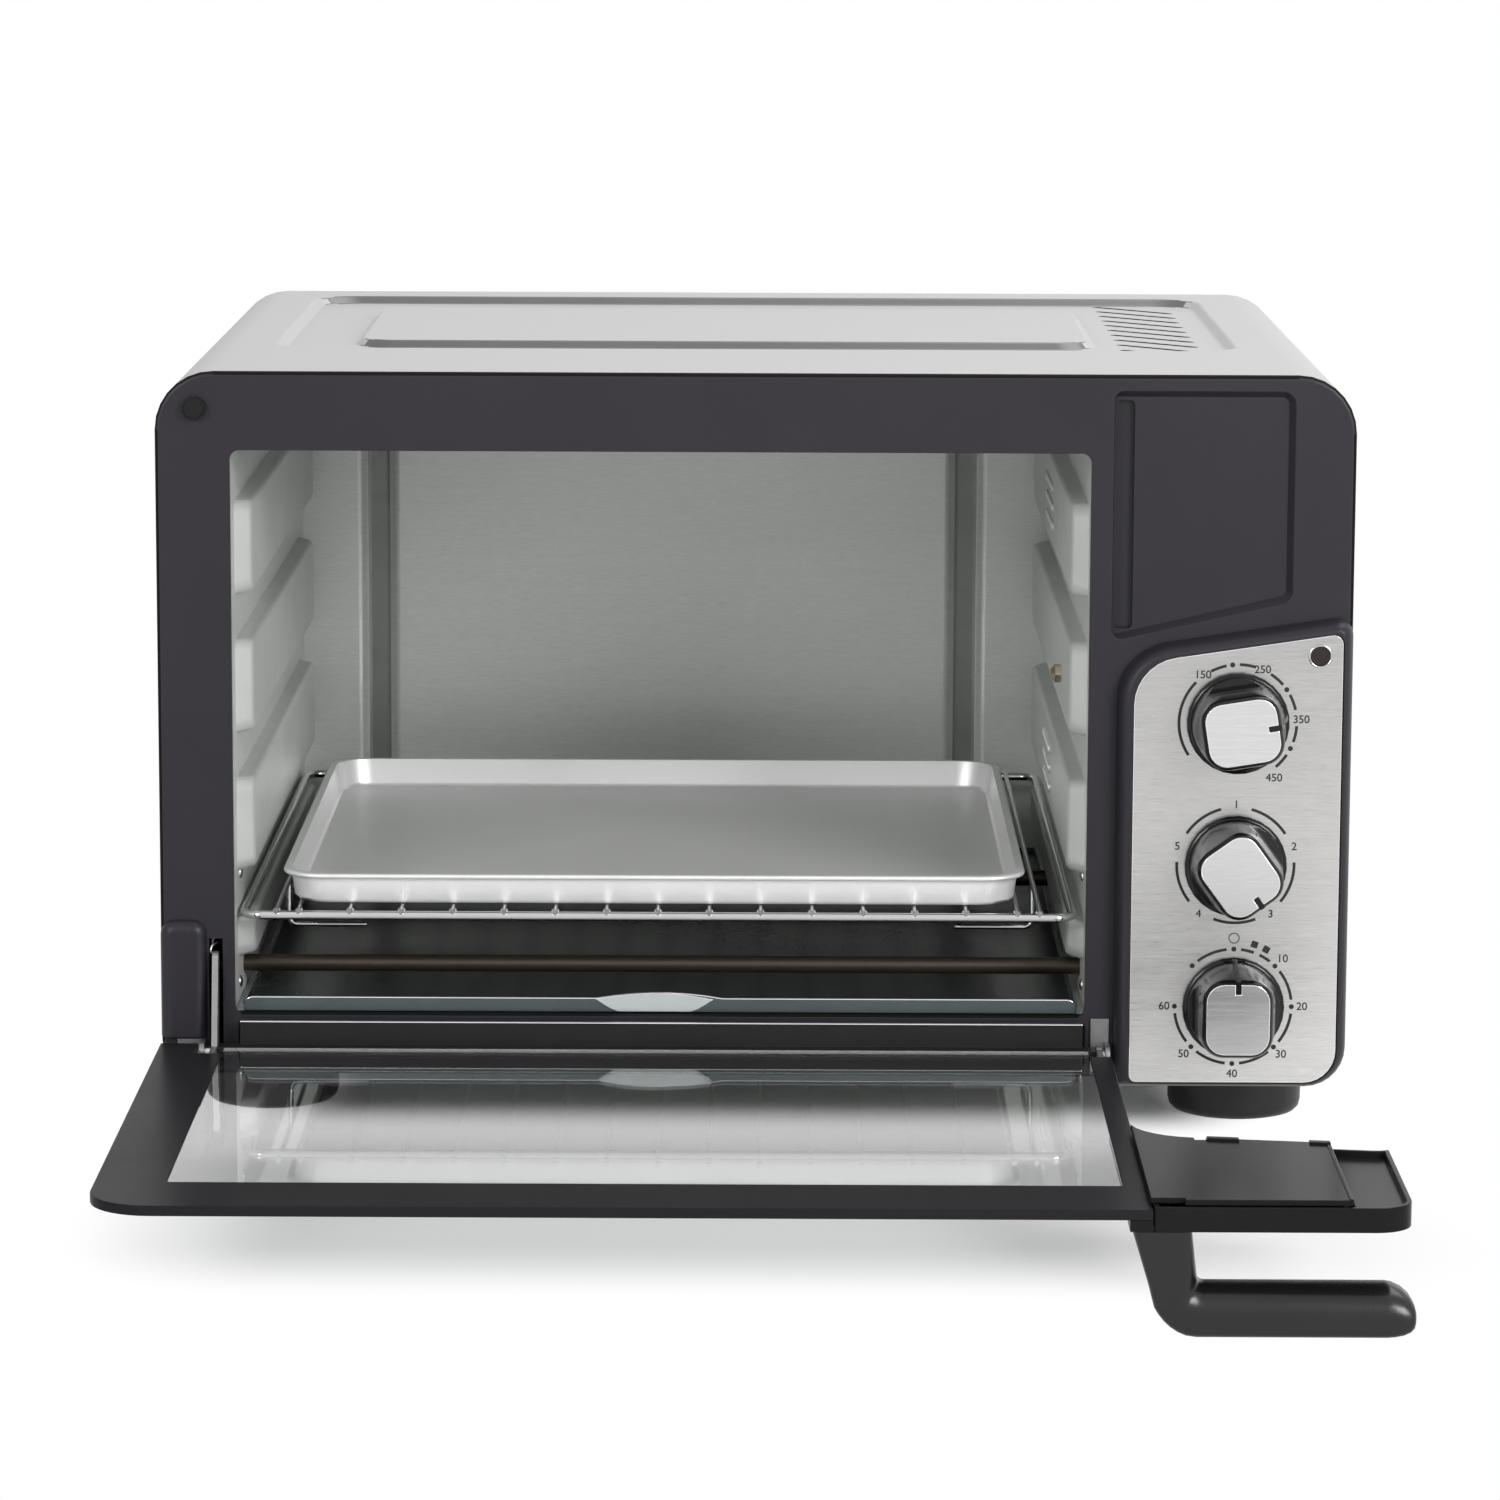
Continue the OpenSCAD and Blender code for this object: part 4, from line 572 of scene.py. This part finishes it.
def dress(node):
    """Puts a rounded, finished copy in the place of a node."""
    mesh = taken_from(node)
    finishes = [SPECIAL.get(node, node if node in FINISHES else SLOT_OF[node])]
    if node == "front_frame":
        finishes.append("painted_gap_shade")
        shade_rim(mesh)
    if node == "rear_panel":
        finishes.append("rib_shade")
        soften(mesh, RIB_EDGE, 3, RIB_TURN, lambda e: rib_offset(middle(e)) < RIB_HALF)
        shade_ribs(mesh)
    if node == "outer_shell":
        # Painted shade on the top's front-facing slopes and on the vents' sides.
        finishes += ["shell_shade", "painted_gap_shade"]
        soften(mesh, SHELL_FOLD, 3, FOLD_TURN, on_shell_fold)
        shade_slopes(mesh)
    if node in ("left_wall", "right_wall"):
        soften(mesh, WALL_EDGE, 3, FOLD_TURN, on_wall_pressing)
    if node == "cavity_floor":
        # Painted shade on the cavity floor's strip in front of the tray's lip.
        finishes.append("painted_gap_shade")
        bmesh.ops.bisect_plane(mesh, geom=[*mesh.verts, *mesh.edges, *mesh.faces],
                               plane_co=(0, LIP_BACK, 0), plane_no=(0, 1, 0))
        set_front_strip(mesh)
    if node == "crumb_tray":
        finishes.append("tray_lip")
        set_front_strip(mesh)
    width = EDGES.get(node, PLAIN_EDGE)
    if width:
        soften(mesh, width, 2, chosen=rounded_edges(node))
    # Painted highlight on the chosen edge faces.
    if node in PAINTED_HIGHLIGHTS:
        finishes.append("painted_highlight")
        for face in mesh.faces:
            if PAINTED_HIGHLIGHTS[node](face.normal, face.calc_center_median()):
                face.material_index = len(finishes) - 1
    return show(node + "_piece", mesh, finishes, BODY_OF[node], [node])


for node in sorted(frame["nodes"]):
    if node != "door_glass":
        dress(node)


# Door pane: a clear window in a border with a satin print inside and a glossy face outside.

WINDOW_LEFT = -218.0
WINDOW_RIGHT = 138.0
WINDOW_TOP = 253.0
WINDOW_R = 2.0
PANE_LOW = 19.6
PANE_GAP = 0.1
PANE_SHY = 0.15
GLASS_RIGHT = 147.0
BORDER_LOW = 11.2
BORDER_R = 24.0
BORDER_EDGE = 0.4
HINGE_NOTCH_LEFT = -229.5
NOTCH_TOP = 30.0
CORNER_NEAR = 0.1 * MM


def sheet_between(outline, y_in, y_out):
    """A door panel from an outline of closed-door widths and heights, between two depths."""
    mesh = bmesh.new()
    lower = mesh.faces.new([mesh.verts.new(swung(x, y_out, z)) for x, z in outline])
    grown = bmesh.ops.extrude_face_region(mesh, geom=[lower])
    rising = [v for v in grown["geom"] if isinstance(v, bmesh.types.BMVert)]
    bmesh.ops.translate(mesh, verts=rising, vec=swung(0, y_in, 0) - swung(0, y_out, 0))
    bmesh.ops.recalc_face_normals(mesh, faces=mesh.faces)
    return mesh


def round_corner(mesh, x, z, radius):
    """Rounds the upright edge of a door panel at a corner."""
    corner = swung(x, GLASS_IN, z)
    upright = [e for e in mesh.edges if abs(e.verts[0].co.z - e.verts[1].co.z) > MM]
    near = [e for e in upright if (middle(e).xy - corner.xy).length < CORNER_NEAR]
    bmesh.ops.bevel(mesh, geom=near, offset=radius * MM, offset_type="OFFSET", segments=10, profile=0.5,
                    affect="EDGES", material=-1)


def door_border():
    """The border of the pane, open below, with its print inside and its glossy face outside."""
    outline = [(-HALF_WIDTH, BORDER_LOW), (HINGE_NOTCH_LEFT, BORDER_LOW), (HINGE_NOTCH_LEFT, NOTCH_TOP),
               (WINDOW_LEFT, NOTCH_TOP), (WINDOW_LEFT, WINDOW_TOP), (WINDOW_RIGHT, WINDOW_TOP),
               (WINDOW_RIGHT, NOTCH_TOP), (GLASS_RIGHT, NOTCH_TOP), (GLASS_RIGHT, DOOR_TOP),
               (-HALF_WIDTH, DOOR_TOP)]
    mesh = sheet_between(outline, GLASS_IN, GLASS_OUT)
    round_corner(mesh, -HALF_WIDTH, DOOR_TOP, BORDER_R)
    round_corner(mesh, WINDOW_LEFT, WINDOW_TOP, WINDOW_R)
    round_corner(mesh, WINDOW_RIGHT, WINDOW_TOP, WINDOW_R)
    soften(mesh, BORDER_EDGE, 2)
    for face in mesh.faces:
        face.material_index = int(face.normal.z < -0.9)
    return show("door_border", mesh, ["border", "gloss_border"], "door", ["door_glass"])


def door_pane():
    """The clear window, a little clear of its border and a little thinner."""
    left = WINDOW_LEFT + PANE_GAP
    right = WINDOW_RIGHT - PANE_GAP
    top = WINDOW_TOP - PANE_GAP
    outline = [(left, PANE_LOW), (right, PANE_LOW), (right, top), (left, top)]
    mesh = sheet_between(outline, GLASS_IN - PANE_SHY, GLASS_OUT + PANE_SHY)
    return show("door_pane", mesh, ["glass"], "door", ["door_glass"])


door_border()
door_pane()


# Marks round the knobs: arcs, dots, a ring, two squares and plain numbers.

INK = 0.06
INK_LIFT = 0.01
INK_MERGE = 0.001 * MM
RING_R = 24.1
RING_W = 1.2
DOT_R = 1.05
DIGIT_SIZE = 4.6
DIGIT_WEIGHT = 0.06
SHARPEST_JOIN = 0.6
ARC_STEP = 4
# Angles are in degrees from the top of the knob, turning right; places and radii are in millimetres.
TEMP_ARC = (-124, -46)
TEMP_DASHES = (-20, 9, 41, 69, 101, 131)
DASH_HALF = 8.0
TEMP_DOTS = (-6, 55, 116)
TEMP_NUMBERS = (("150", -14.6, 19.8), ("250", 9.8, 22.0), ("350", 25.9, 1.4), ("450", 15.2, -22.8))
MODE_COUNT = 5
MODE_PITCH = 72
MODE_ARC = (15, 57)
MODE_NUMBER_R = 25.2
TIMER_PITCH = 45
TIMER_ARC = (7, 38)
TIMER_SPLIT_ARCS = ((7, 20), (26, 38))
TIMER_NUMBER_R = 28.4
OFF_RING = {"angle": 0, "radius": 28.7, "size": 2.1, "width": 0.4}
SQUARE_ANGLES = (18, 29)
SQUARE_R = 27.4
SQUARE_HALF = 1.4


def embolden(flat):
    """Moves the outline of flat digits outwards, so that their strokes get thicker."""
    mesh = bmesh.new()
    mesh.from_mesh(flat)
    bmesh.ops.remove_doubles(mesh, verts=mesh.verts, dist=INK_MERGE)
    outward = {}
    for edge in mesh.edges:
        if edge.is_boundary:
            corner = edge.link_loops[0]
            along = corner.link_loop_next.vert.co - corner.vert.co
            out = along.cross(corner.face.normal).normalized()
            for vert in edge.verts:
                outward.setdefault(vert, []).append(out)
    for vert, sides in outward.items():
        first, last = sides[0], sides[-1]
        vert.co += (first + last) * DIGIT_WEIGHT * MM / max(1 + first.dot(last), SHARPEST_JOIN)
    mesh.to_mesh(flat)
    mesh.free()


class Marks:
    """Flat ink shapes on the control plate, placed about one knob by angle from the top and radius."""

    def __init__(self, dial):
        self.dial = dial
        self.mesh = bmesh.new()
        self.centre = spot(KNOB_X, PLATE_FACE - INK_LIFT, KNOB_Z[dial])

    def place(self, angle, radius):
        """A point at an angle and a radius about the knob."""
        turn = math.radians(angle)
        return self.centre + Vector((math.sin(turn), 0, math.cos(turn))) * radius * MM

    def arc(self, first, last):
        """A part of the ring between two angles."""
        ends = [self.mesh.verts.new(self.place(first, RING_R + side * RING_W / 2)) for side in (-1, 1)]
        edge = self.mesh.edges.new(ends)
        steps = max(2, round(abs(last - first) / ARC_STEP))
        bmesh.ops.spin(self.mesh, geom=[*ends, edge], cent=self.centre, axis=(0, 1, 0),
                       angle=math.radians(last - first), steps=steps)

    def dot(self, angle):
        """A dot on the ring."""
        stand = Matrix.Rotation(math.pi / 2, 4, "X")
        bmesh.ops.create_circle(self.mesh, cap_ends=True, segments=20, radius=DOT_R * MM,
                                matrix=Matrix.Translation(self.place(angle, RING_R)) @ stand)

    def ring(self, angle, radius, size, width):
        """A small ring of its own."""
        home = self.place(angle, radius)
        sides = [size - width / 2, size + width / 2]
        top = [self.mesh.verts.new(home + Vector((0, 0, side)) * MM) for side in sides]
        edge = self.mesh.edges.new(top)
        bmesh.ops.spin(self.mesh, geom=[*top, edge], cent=home, axis=(0, 1, 0), angle=2 * math.pi, steps=28,
                       use_merge=True)

    def square(self, angle, radius, size):
        """A square with rounded corners, turned to face the knob."""
        turn = Matrix.Rotation(math.radians(angle), 4, "Y") @ Matrix.Rotation(math.pi / 2, 4, "X")
        made = bmesh.ops.create_grid(self.mesh, x_segments=1, y_segments=1, size=size * MM,
                                     matrix=Matrix.Translation(self.place(angle, radius)) @ turn)
        corners = list(made["verts"])
        bmesh.ops.bevel(self.mesh, geom=corners, offset=0.25 * size * MM, offset_type="OFFSET", segments=4,
                        profile=0.5, affect="VERTICES", material=-1)

    def number(self, text, across, up):
        """Digits, centred on a place beside the knob."""
        curve = bpy.data.curves.new("digits", "FONT")
        curve.body = text
        curve.size = DIGIT_SIZE * MM
        curve.align_x = "CENTER"
        curve.align_y = "CENTER"
        written = bpy.data.objects.new("digits", curve)
        bpy.context.scene.collection.objects.link(written)
        graph = bpy.context.evaluated_depsgraph_get()
        flat = bpy.data.meshes.new_from_object(written.evaluated_get(graph))
        bpy.data.objects.remove(written)
        embolden(flat)
        home = self.centre + Vector((across, 0, up)) * MM
        flat.transform(Matrix.Translation(home) @ Matrix.Rotation(math.pi / 2, 4, "X"))
        self.mesh.from_mesh(flat)

    def finish(self):
        """Gives the flat shapes the thickness of the ink and shows them."""
        mesh = self.mesh
        bmesh.ops.remove_doubles(mesh, verts=mesh.verts, dist=INK_MERGE)
        bmesh.ops.recalc_face_normals(mesh, faces=mesh.faces)
        flipped = [f for f in mesh.faces if f.normal.y > 0]
        bmesh.ops.reverse_faces(mesh, faces=flipped)
        grown = bmesh.ops.extrude_face_region(mesh, geom=list(mesh.faces))
        rising = [v for v in grown["geom"] if isinstance(v, bmesh.types.BMVert)]
        bmesh.ops.translate(mesh, verts=rising, vec=Vector((0, -INK * MM, 0)))
        bmesh.ops.recalc_face_normals(mesh, faces=mesh.faces)
        return show(self.dial + "_marks", mesh, ["ink"], "oven")


def temperature_marks():
    marks = Marks("temp")
    marks.arc(*TEMP_ARC)
    for angle in TEMP_DASHES:
        marks.arc(angle - DASH_HALF, angle + DASH_HALF)
    for angle in TEMP_DOTS:
        marks.dot(angle)
    for text, across, up in TEMP_NUMBERS:
        marks.number(text, across, up)
    marks.finish()


def mode_marks():
    marks = Marks("mode")
    for step in range(MODE_COUNT):
        angle = MODE_PITCH * step
        marks.arc(angle + MODE_ARC[0], angle + MODE_ARC[1])
        turn = math.radians(angle)
        marks.number(str(step + 1), MODE_NUMBER_R * math.sin(turn), MODE_NUMBER_R * math.cos(turn))
    marks.finish()


def timer_marks():
    marks = Marks("timer")
    for step in range(-1, 7):
        marks.dot(TIMER_PITCH * step)
    for step in (-1, 1, 2, 3, 4, 5):
        marks.arc(TIMER_PITCH * step + TIMER_ARC[0], TIMER_PITCH * step + TIMER_ARC[1])
    for first, last in TIMER_SPLIT_ARCS:
        marks.arc(first, last)
    for step in range(1, 7):
        turn = math.radians(TIMER_PITCH * step)
        marks.number(str(10 * step), TIMER_NUMBER_R * math.sin(turn), TIMER_NUMBER_R * math.cos(turn))
    marks.ring(**OFF_RING)
    for angle in SQUARE_ANGLES:
        marks.square(angle, SQUARE_R, SQUARE_HALF)
    marks.finish()


temperature_marks()
mode_marks()
timer_marks()


# Small fittings of the cavity and the rack.

RIVETS = [(-215.0, 34.1, 81.7), (-215.0, 28.8, 36.2), (137.5, 34.1, 81.7), (137.5, 28.8, 36.2)]
RIVET_R = 2.6
RIVET_FLAT = (1, 1, 0.5)
NUT_PLACE = (130.5, 94.6, 158.1)
NUT_R = 4.2
# The nut from its wall outwards: each step's radius, and how far it rises.
NUT_STEPS = ((NUT_R, 2.6), (2.4, 0.0), (2.2, 1.8))
NUT_EDGE = 0.25
LAMP_PLACE = (231.0, PLATE_FACE, 181.0)
LAMP_RING_R = 4.5
LAMP_BEAD_R = 0.5


def wall_rivets():
    """Low round rivet heads at the front of both cavity walls."""
    mesh = bmesh.new()
    for x, y, z in RIVETS:
        side = 1 if x < 0 else -1
        stand = Matrix.Translation(spot(x, y, z)) @ Matrix.Rotation(side * math.pi / 2, 4, "Y")
        head = bmesh.ops.create_uvsphere(mesh, u_segments=20, v_segments=10, radius=RIVET_R * MM)["verts"]
        bmesh.ops.scale(mesh, verts=head, vec=RIVET_FLAT)
        bmesh.ops.transform(mesh, verts=head, matrix=stand)
    show("wall_rivets", mesh, ["steel"], "oven")


def sensor_nut():
    """Brass hexagon of the temperature sensor on the right cavity wall."""
    mesh = bmesh.new()
    stand = Matrix.Translation(spot(*NUT_PLACE)) @ Matrix.Rotation(-math.pi / 2, 4, "Y")
    bmesh.ops.create_circle(mesh, cap_ends=True, segments=6, radius=NUT_R * MM)
    for size, rise in NUT_STEPS:
        top = max(mesh.faces, key=lambda f: f.calc_center_median().z)
        grown = bmesh.ops.extrude_face_region(mesh, geom=[top])
        rising = [v for v in grown["geom"] if isinstance(v, bmesh.types.BMVert)]
        centre = Vector((0, 0, rising[0].co.z))
        factor = size * MM / (rising[0].co - centre).length
        bmesh.ops.scale(mesh, verts=rising, vec=(factor, factor, 1))
        bmesh.ops.translate(mesh, verts=rising, vec=(0, 0, rise * MM))
    bmesh.ops.recalc_face_normals(mesh, faces=mesh.faces)
    soften(mesh, NUT_EDGE, 2)
    bmesh.ops.transform(mesh, verts=mesh.verts, matrix=stand)
    show("sensor_nut", mesh, ["brass"], "oven")


def lamp_ring():
    """Bright bead round the indicator lamp."""
    mesh = bmesh.new()
    centre = spot(*LAMP_PLACE)
    section = bmesh.ops.create_circle(mesh, segments=10, radius=LAMP_BEAD_R * MM)["verts"]
    bmesh.ops.translate(mesh, verts=section, vec=centre + Vector((LAMP_RING_R * MM, 0, 0)))
    bmesh.ops.spin(mesh, geom=[*section, *mesh.edges], cent=centre, axis=(0, 1, 0), angle=2 * math.pi,
                   steps=40, use_merge=True)
    bmesh.ops.recalc_face_normals(mesh, faces=mesh.faces)
    show("lamp_ring", mesh, ["chrome"], "oven")


BAR_COUNT = 15
FIRST_BAR = -188.9
LAST_BAR = 109.4
END_BARS = (-198.1, 118.6)
WELD_PLACE = (14.9, 69.0)
WELD_SIZE = (1.9, 2.6, 1.7)


def rack_welds():
    """Small beads where each bar of the rack is welded to its front wire."""
    mesh = bmesh.new()
    pitch = (LAST_BAR - FIRST_BAR) / (BAR_COUNT - 1)
    for x in [*END_BARS, *(FIRST_BAR + pitch * i for i in range(BAR_COUNT))]:
        bead = bmesh.ops.create_uvsphere(mesh, u_segments=14, v_segments=8, radius=MM)["verts"]
        bmesh.ops.scale(mesh, verts=bead, vec=WELD_SIZE)
        bmesh.ops.translate(mesh, verts=bead, vec=spot(x, *WELD_PLACE))
    show("rack_welds", mesh, ["chrome"], "rack")


PULL_CENTRE = (-41.0, 5.95, 34.0)
PULL_HALF = 24.5
PULL_RISE = 2.8
PULL_SAG = 9.0
PULL_DROP = 5.2
PULL_T = 0.9
PULL_EDGE = 0.35
PULL_STEPS = 16


def tray_pull():
    """Polished pull on the crumb tray's lip: an arc above, and below one that the lip's edge cuts off."""
    mesh = bmesh.new()
    x, y, z = PULL_CENTRE
    outline = []
    for height, lowest in ((PULL_RISE, 0.0), (-PULL_SAG, -PULL_DROP)):
        for step in range(PULL_STEPS):
            share = (2 * step / PULL_STEPS - 1) * (1 if height > 0 else -1)
            outline.append((PULL_HALF * share, max(height * (1 - share ** 2), lowest)))
    face = mesh.faces.new([mesh.verts.new(spot(x + across, y, z + up)) for across, up in outline])
    grown = bmesh.ops.extrude_face_region(mesh, geom=[face])
    rising = [v for v in grown["geom"] if isinstance(v, bmesh.types.BMVert)]
    bmesh.ops.translate(mesh, verts=rising, vec=(0, -PULL_T * MM, 0))
    bmesh.ops.recalc_face_normals(mesh, faces=mesh.faces)
    soften(mesh, PULL_EDGE, 3)
    # The pull's upward faces get a painted highlight.
    for face in mesh.faces:
        face.material_index = int(face.normal.z > 0.3)
    show("tray_pull", mesh, ["pull", "painted_highlight"], "tray")


wall_rivets()
sensor_nut()
lamp_ring()
rack_welds()
tray_pull()


# Studio: camera, lamps, white surroundings and floor.

SENSOR_W = 36.0
CAMERA_LENS = 139.44
CAMERA_PLACE = (1.845, -2407.02, 562.74)
CAMERA_PITCH = math.radians(9.399)
CAMERA_YAW = math.radians(0.089)
CAMERA_ROLL = math.radians(-0.227)
CAMERA_NEAR = 0.05
CAMERA_FAR = 60.0


def camera():
    """The view of the photo."""
    data = bpy.data.cameras.new("view")
    data.sensor_width = SENSOR_W
    data.lens = CAMERA_LENS
    data.clip_start = CAMERA_NEAR
    data.clip_end = CAMERA_FAR
    eye = bpy.data.objects.new("view", data)
    bpy.context.scene.collection.objects.link(eye)
    level = Matrix.Rotation(CAMERA_YAW, 4, "Z") @ Matrix.Rotation(math.pi / 2 - CAMERA_PITCH, 4, "X")
    roll = Matrix.Rotation(-CAMERA_ROLL, 4, "Z")
    eye.matrix_world = Matrix.Translation(Vector(CAMERA_PLACE) * MM) @ level @ roll
    bpy.context.scene.camera = eye


# Softboxes: place, aim and size in metres, and power in watts.
LAMPS = {
    "overhead_softbox": ((0.7, 0.55, 2.0), (0.0, 0.0, 0.2), (1.6, 1.4), 24.0),
    "right_softbox": ((1.25, -1.7, 0.95), (0.0, 0.1, 0.15), (0.8, 0.8), 32.0),
    "left_softbox": ((-1.7, -2.5, 1.25), (0.0, 0.1, 0.15), (1.0, 0.9), 32.0),
}


def lamp(name, place, aim, size, power):
    """A rectangular softbox."""
    data = bpy.data.lights.new(name, "AREA")
    data.shape = "RECTANGLE"
    data.size, data.size_y = size
    data.energy = power
    light = bpy.data.objects.new(name, data)
    bpy.context.scene.collection.objects.link(light)
    light.location = place
    light.rotation_euler = (Vector(aim) - Vector(place)).to_track_quat("-Z", "Y").to_euler()


def seen_directly(tree):
    """A mask that is one for rays from the camera, from gloss and through glass."""
    path = put(tree, "ShaderNodeLightPath")
    inputs = {0: path.outputs["Is Camera Ray"], 1: path.outputs["Is Glossy Ray"]}
    first = put(tree, "ShaderNodeMath", inputs, operation="MAXIMUM")
    inputs = {0: first.outputs[0], 1: path.outputs["Is Transmission Ray"]}
    return put(tree, "ShaderNodeMath", inputs, operation="MAXIMUM").outputs[0]


WHITE = (1.0, 1.0, 1.0, 1.0)
WORLD_LIGHT = 0.32


def white_world():
    """Surroundings that are white where they are seen and give a lower level of light."""
    world = bpy.data.worlds.new("white_studio")
    bpy.context.scene.world = world
    world.use_nodes = True
    tree = world.node_tree
    tree.nodes.clear()
    inputs = {"Value": seen_directly(tree), "To Min": WORLD_LIGHT, "To Max": 1.0}
    strength = put(tree, "ShaderNodeMapRange", inputs)
    inputs = {"Color": WHITE, "Strength": strength.outputs["Result"]}
    ground = put(tree, "ShaderNodeBackground", inputs)
    output = put(tree, "ShaderNodeOutputWorld")
    tree.links.new(ground.outputs["Background"], output.inputs["Surface"])


# Boxes on the floor, under the body and under the open door, where the floor shows its real shadow.
# They are in metres, with the distance at which it has become plain white.
BODY_SHADE = {"centre": (0.0, 0.1875, 0.0), "half": (0.17, 0.1425, 0.0), "reach": 0.055}
DOOR_SHADE = {"centre": (0.015, -0.145, 0.0), "half": (0.2, 0.045, 0.0), "reach": 0.09}
DOOR_GLOW = 0.22
FLOOR_TONE = (0.9, 0.9, 0.9, 1.0)
FLOOR_HALF = 12.0


def beyond_box(tree, place, centre, half, reach):
    """A mask that is zero in a box and rises to one at a distance from it."""

    def vector(operation, *inputs):
        return put(tree, "ShaderNodeVectorMath", dict(enumerate(inputs)), operation=operation)

    offset = vector("SUBTRACT", place, centre)
    unsigned = vector("ABSOLUTE", offset.outputs["Vector"])
    beyond = vector("SUBTRACT", unsigned.outputs["Vector"], half)
    outside = vector("MAXIMUM", beyond.outputs["Vector"], (0, 0, 0))
    distance = vector("LENGTH", outside.outputs["Vector"])
    inputs = {"Value": distance.outputs["Value"], "From Max": reach}
    return put(tree, "ShaderNodeMapRange", inputs, interpolation_type="SMOOTHSTEP").outputs["Result"]


def white_floor():
    """A white floor that keeps the shadow near the body and the open door."""
    mesh = bmesh.new()
    bmesh.ops.create_grid(mesh, x_segments=1, y_segments=1, size=FLOOR_HALF)
    data = bpy.data.meshes.new("floor")
    mesh.to_mesh(data)
    mesh.free()
    material = bpy.data.materials.new("pale_floor")
    material.use_nodes = True
    tree = material.node_tree
    tree.nodes.clear()
    glow = put(tree, "ShaderNodeEmission", {"Color": WHITE, "Strength": 1.0})
    matt = put(tree, "ShaderNodeBsdfDiffuse", {"Color": FLOOR_TONE})
    place = put(tree, "ShaderNodeTexCoord").outputs["Object"]
    by_body = beyond_box(tree, place, **BODY_SHADE)
    by_door = beyond_box(tree, place, **DOOR_SHADE)
    by_door = put(tree, "ShaderNodeMapRange", {"Value": by_door, "To Min": DOOR_GLOW}).outputs["Result"]
    level = put(tree, "ShaderNodeMath", {0: by_body, 1: by_door}, operation="MULTIPLY").outputs[0]
    share = put(tree, "ShaderNodeMath", {0: seen_directly(tree), 1: level}, operation="MULTIPLY")
    inputs = {0: share.outputs[0], 1: matt.outputs["BSDF"], 2: glow.outputs["Emission"]}
    mixed = put(tree, "ShaderNodeMixShader", inputs)
    output = put(tree, "ShaderNodeOutputMaterial")
    tree.links.new(mixed.outputs["Shader"], output.inputs["Surface"])
    data.materials.append(material)
    floor = bpy.data.objects.new("floor", data)
    bpy.context.scene.collection.objects.link(floor)


camera()
white_world()
white_floor()
for name, settings in LAMPS.items():
    lamp(name, *settings)
bpy.context.scene.view_settings.view_transform = "Standard"
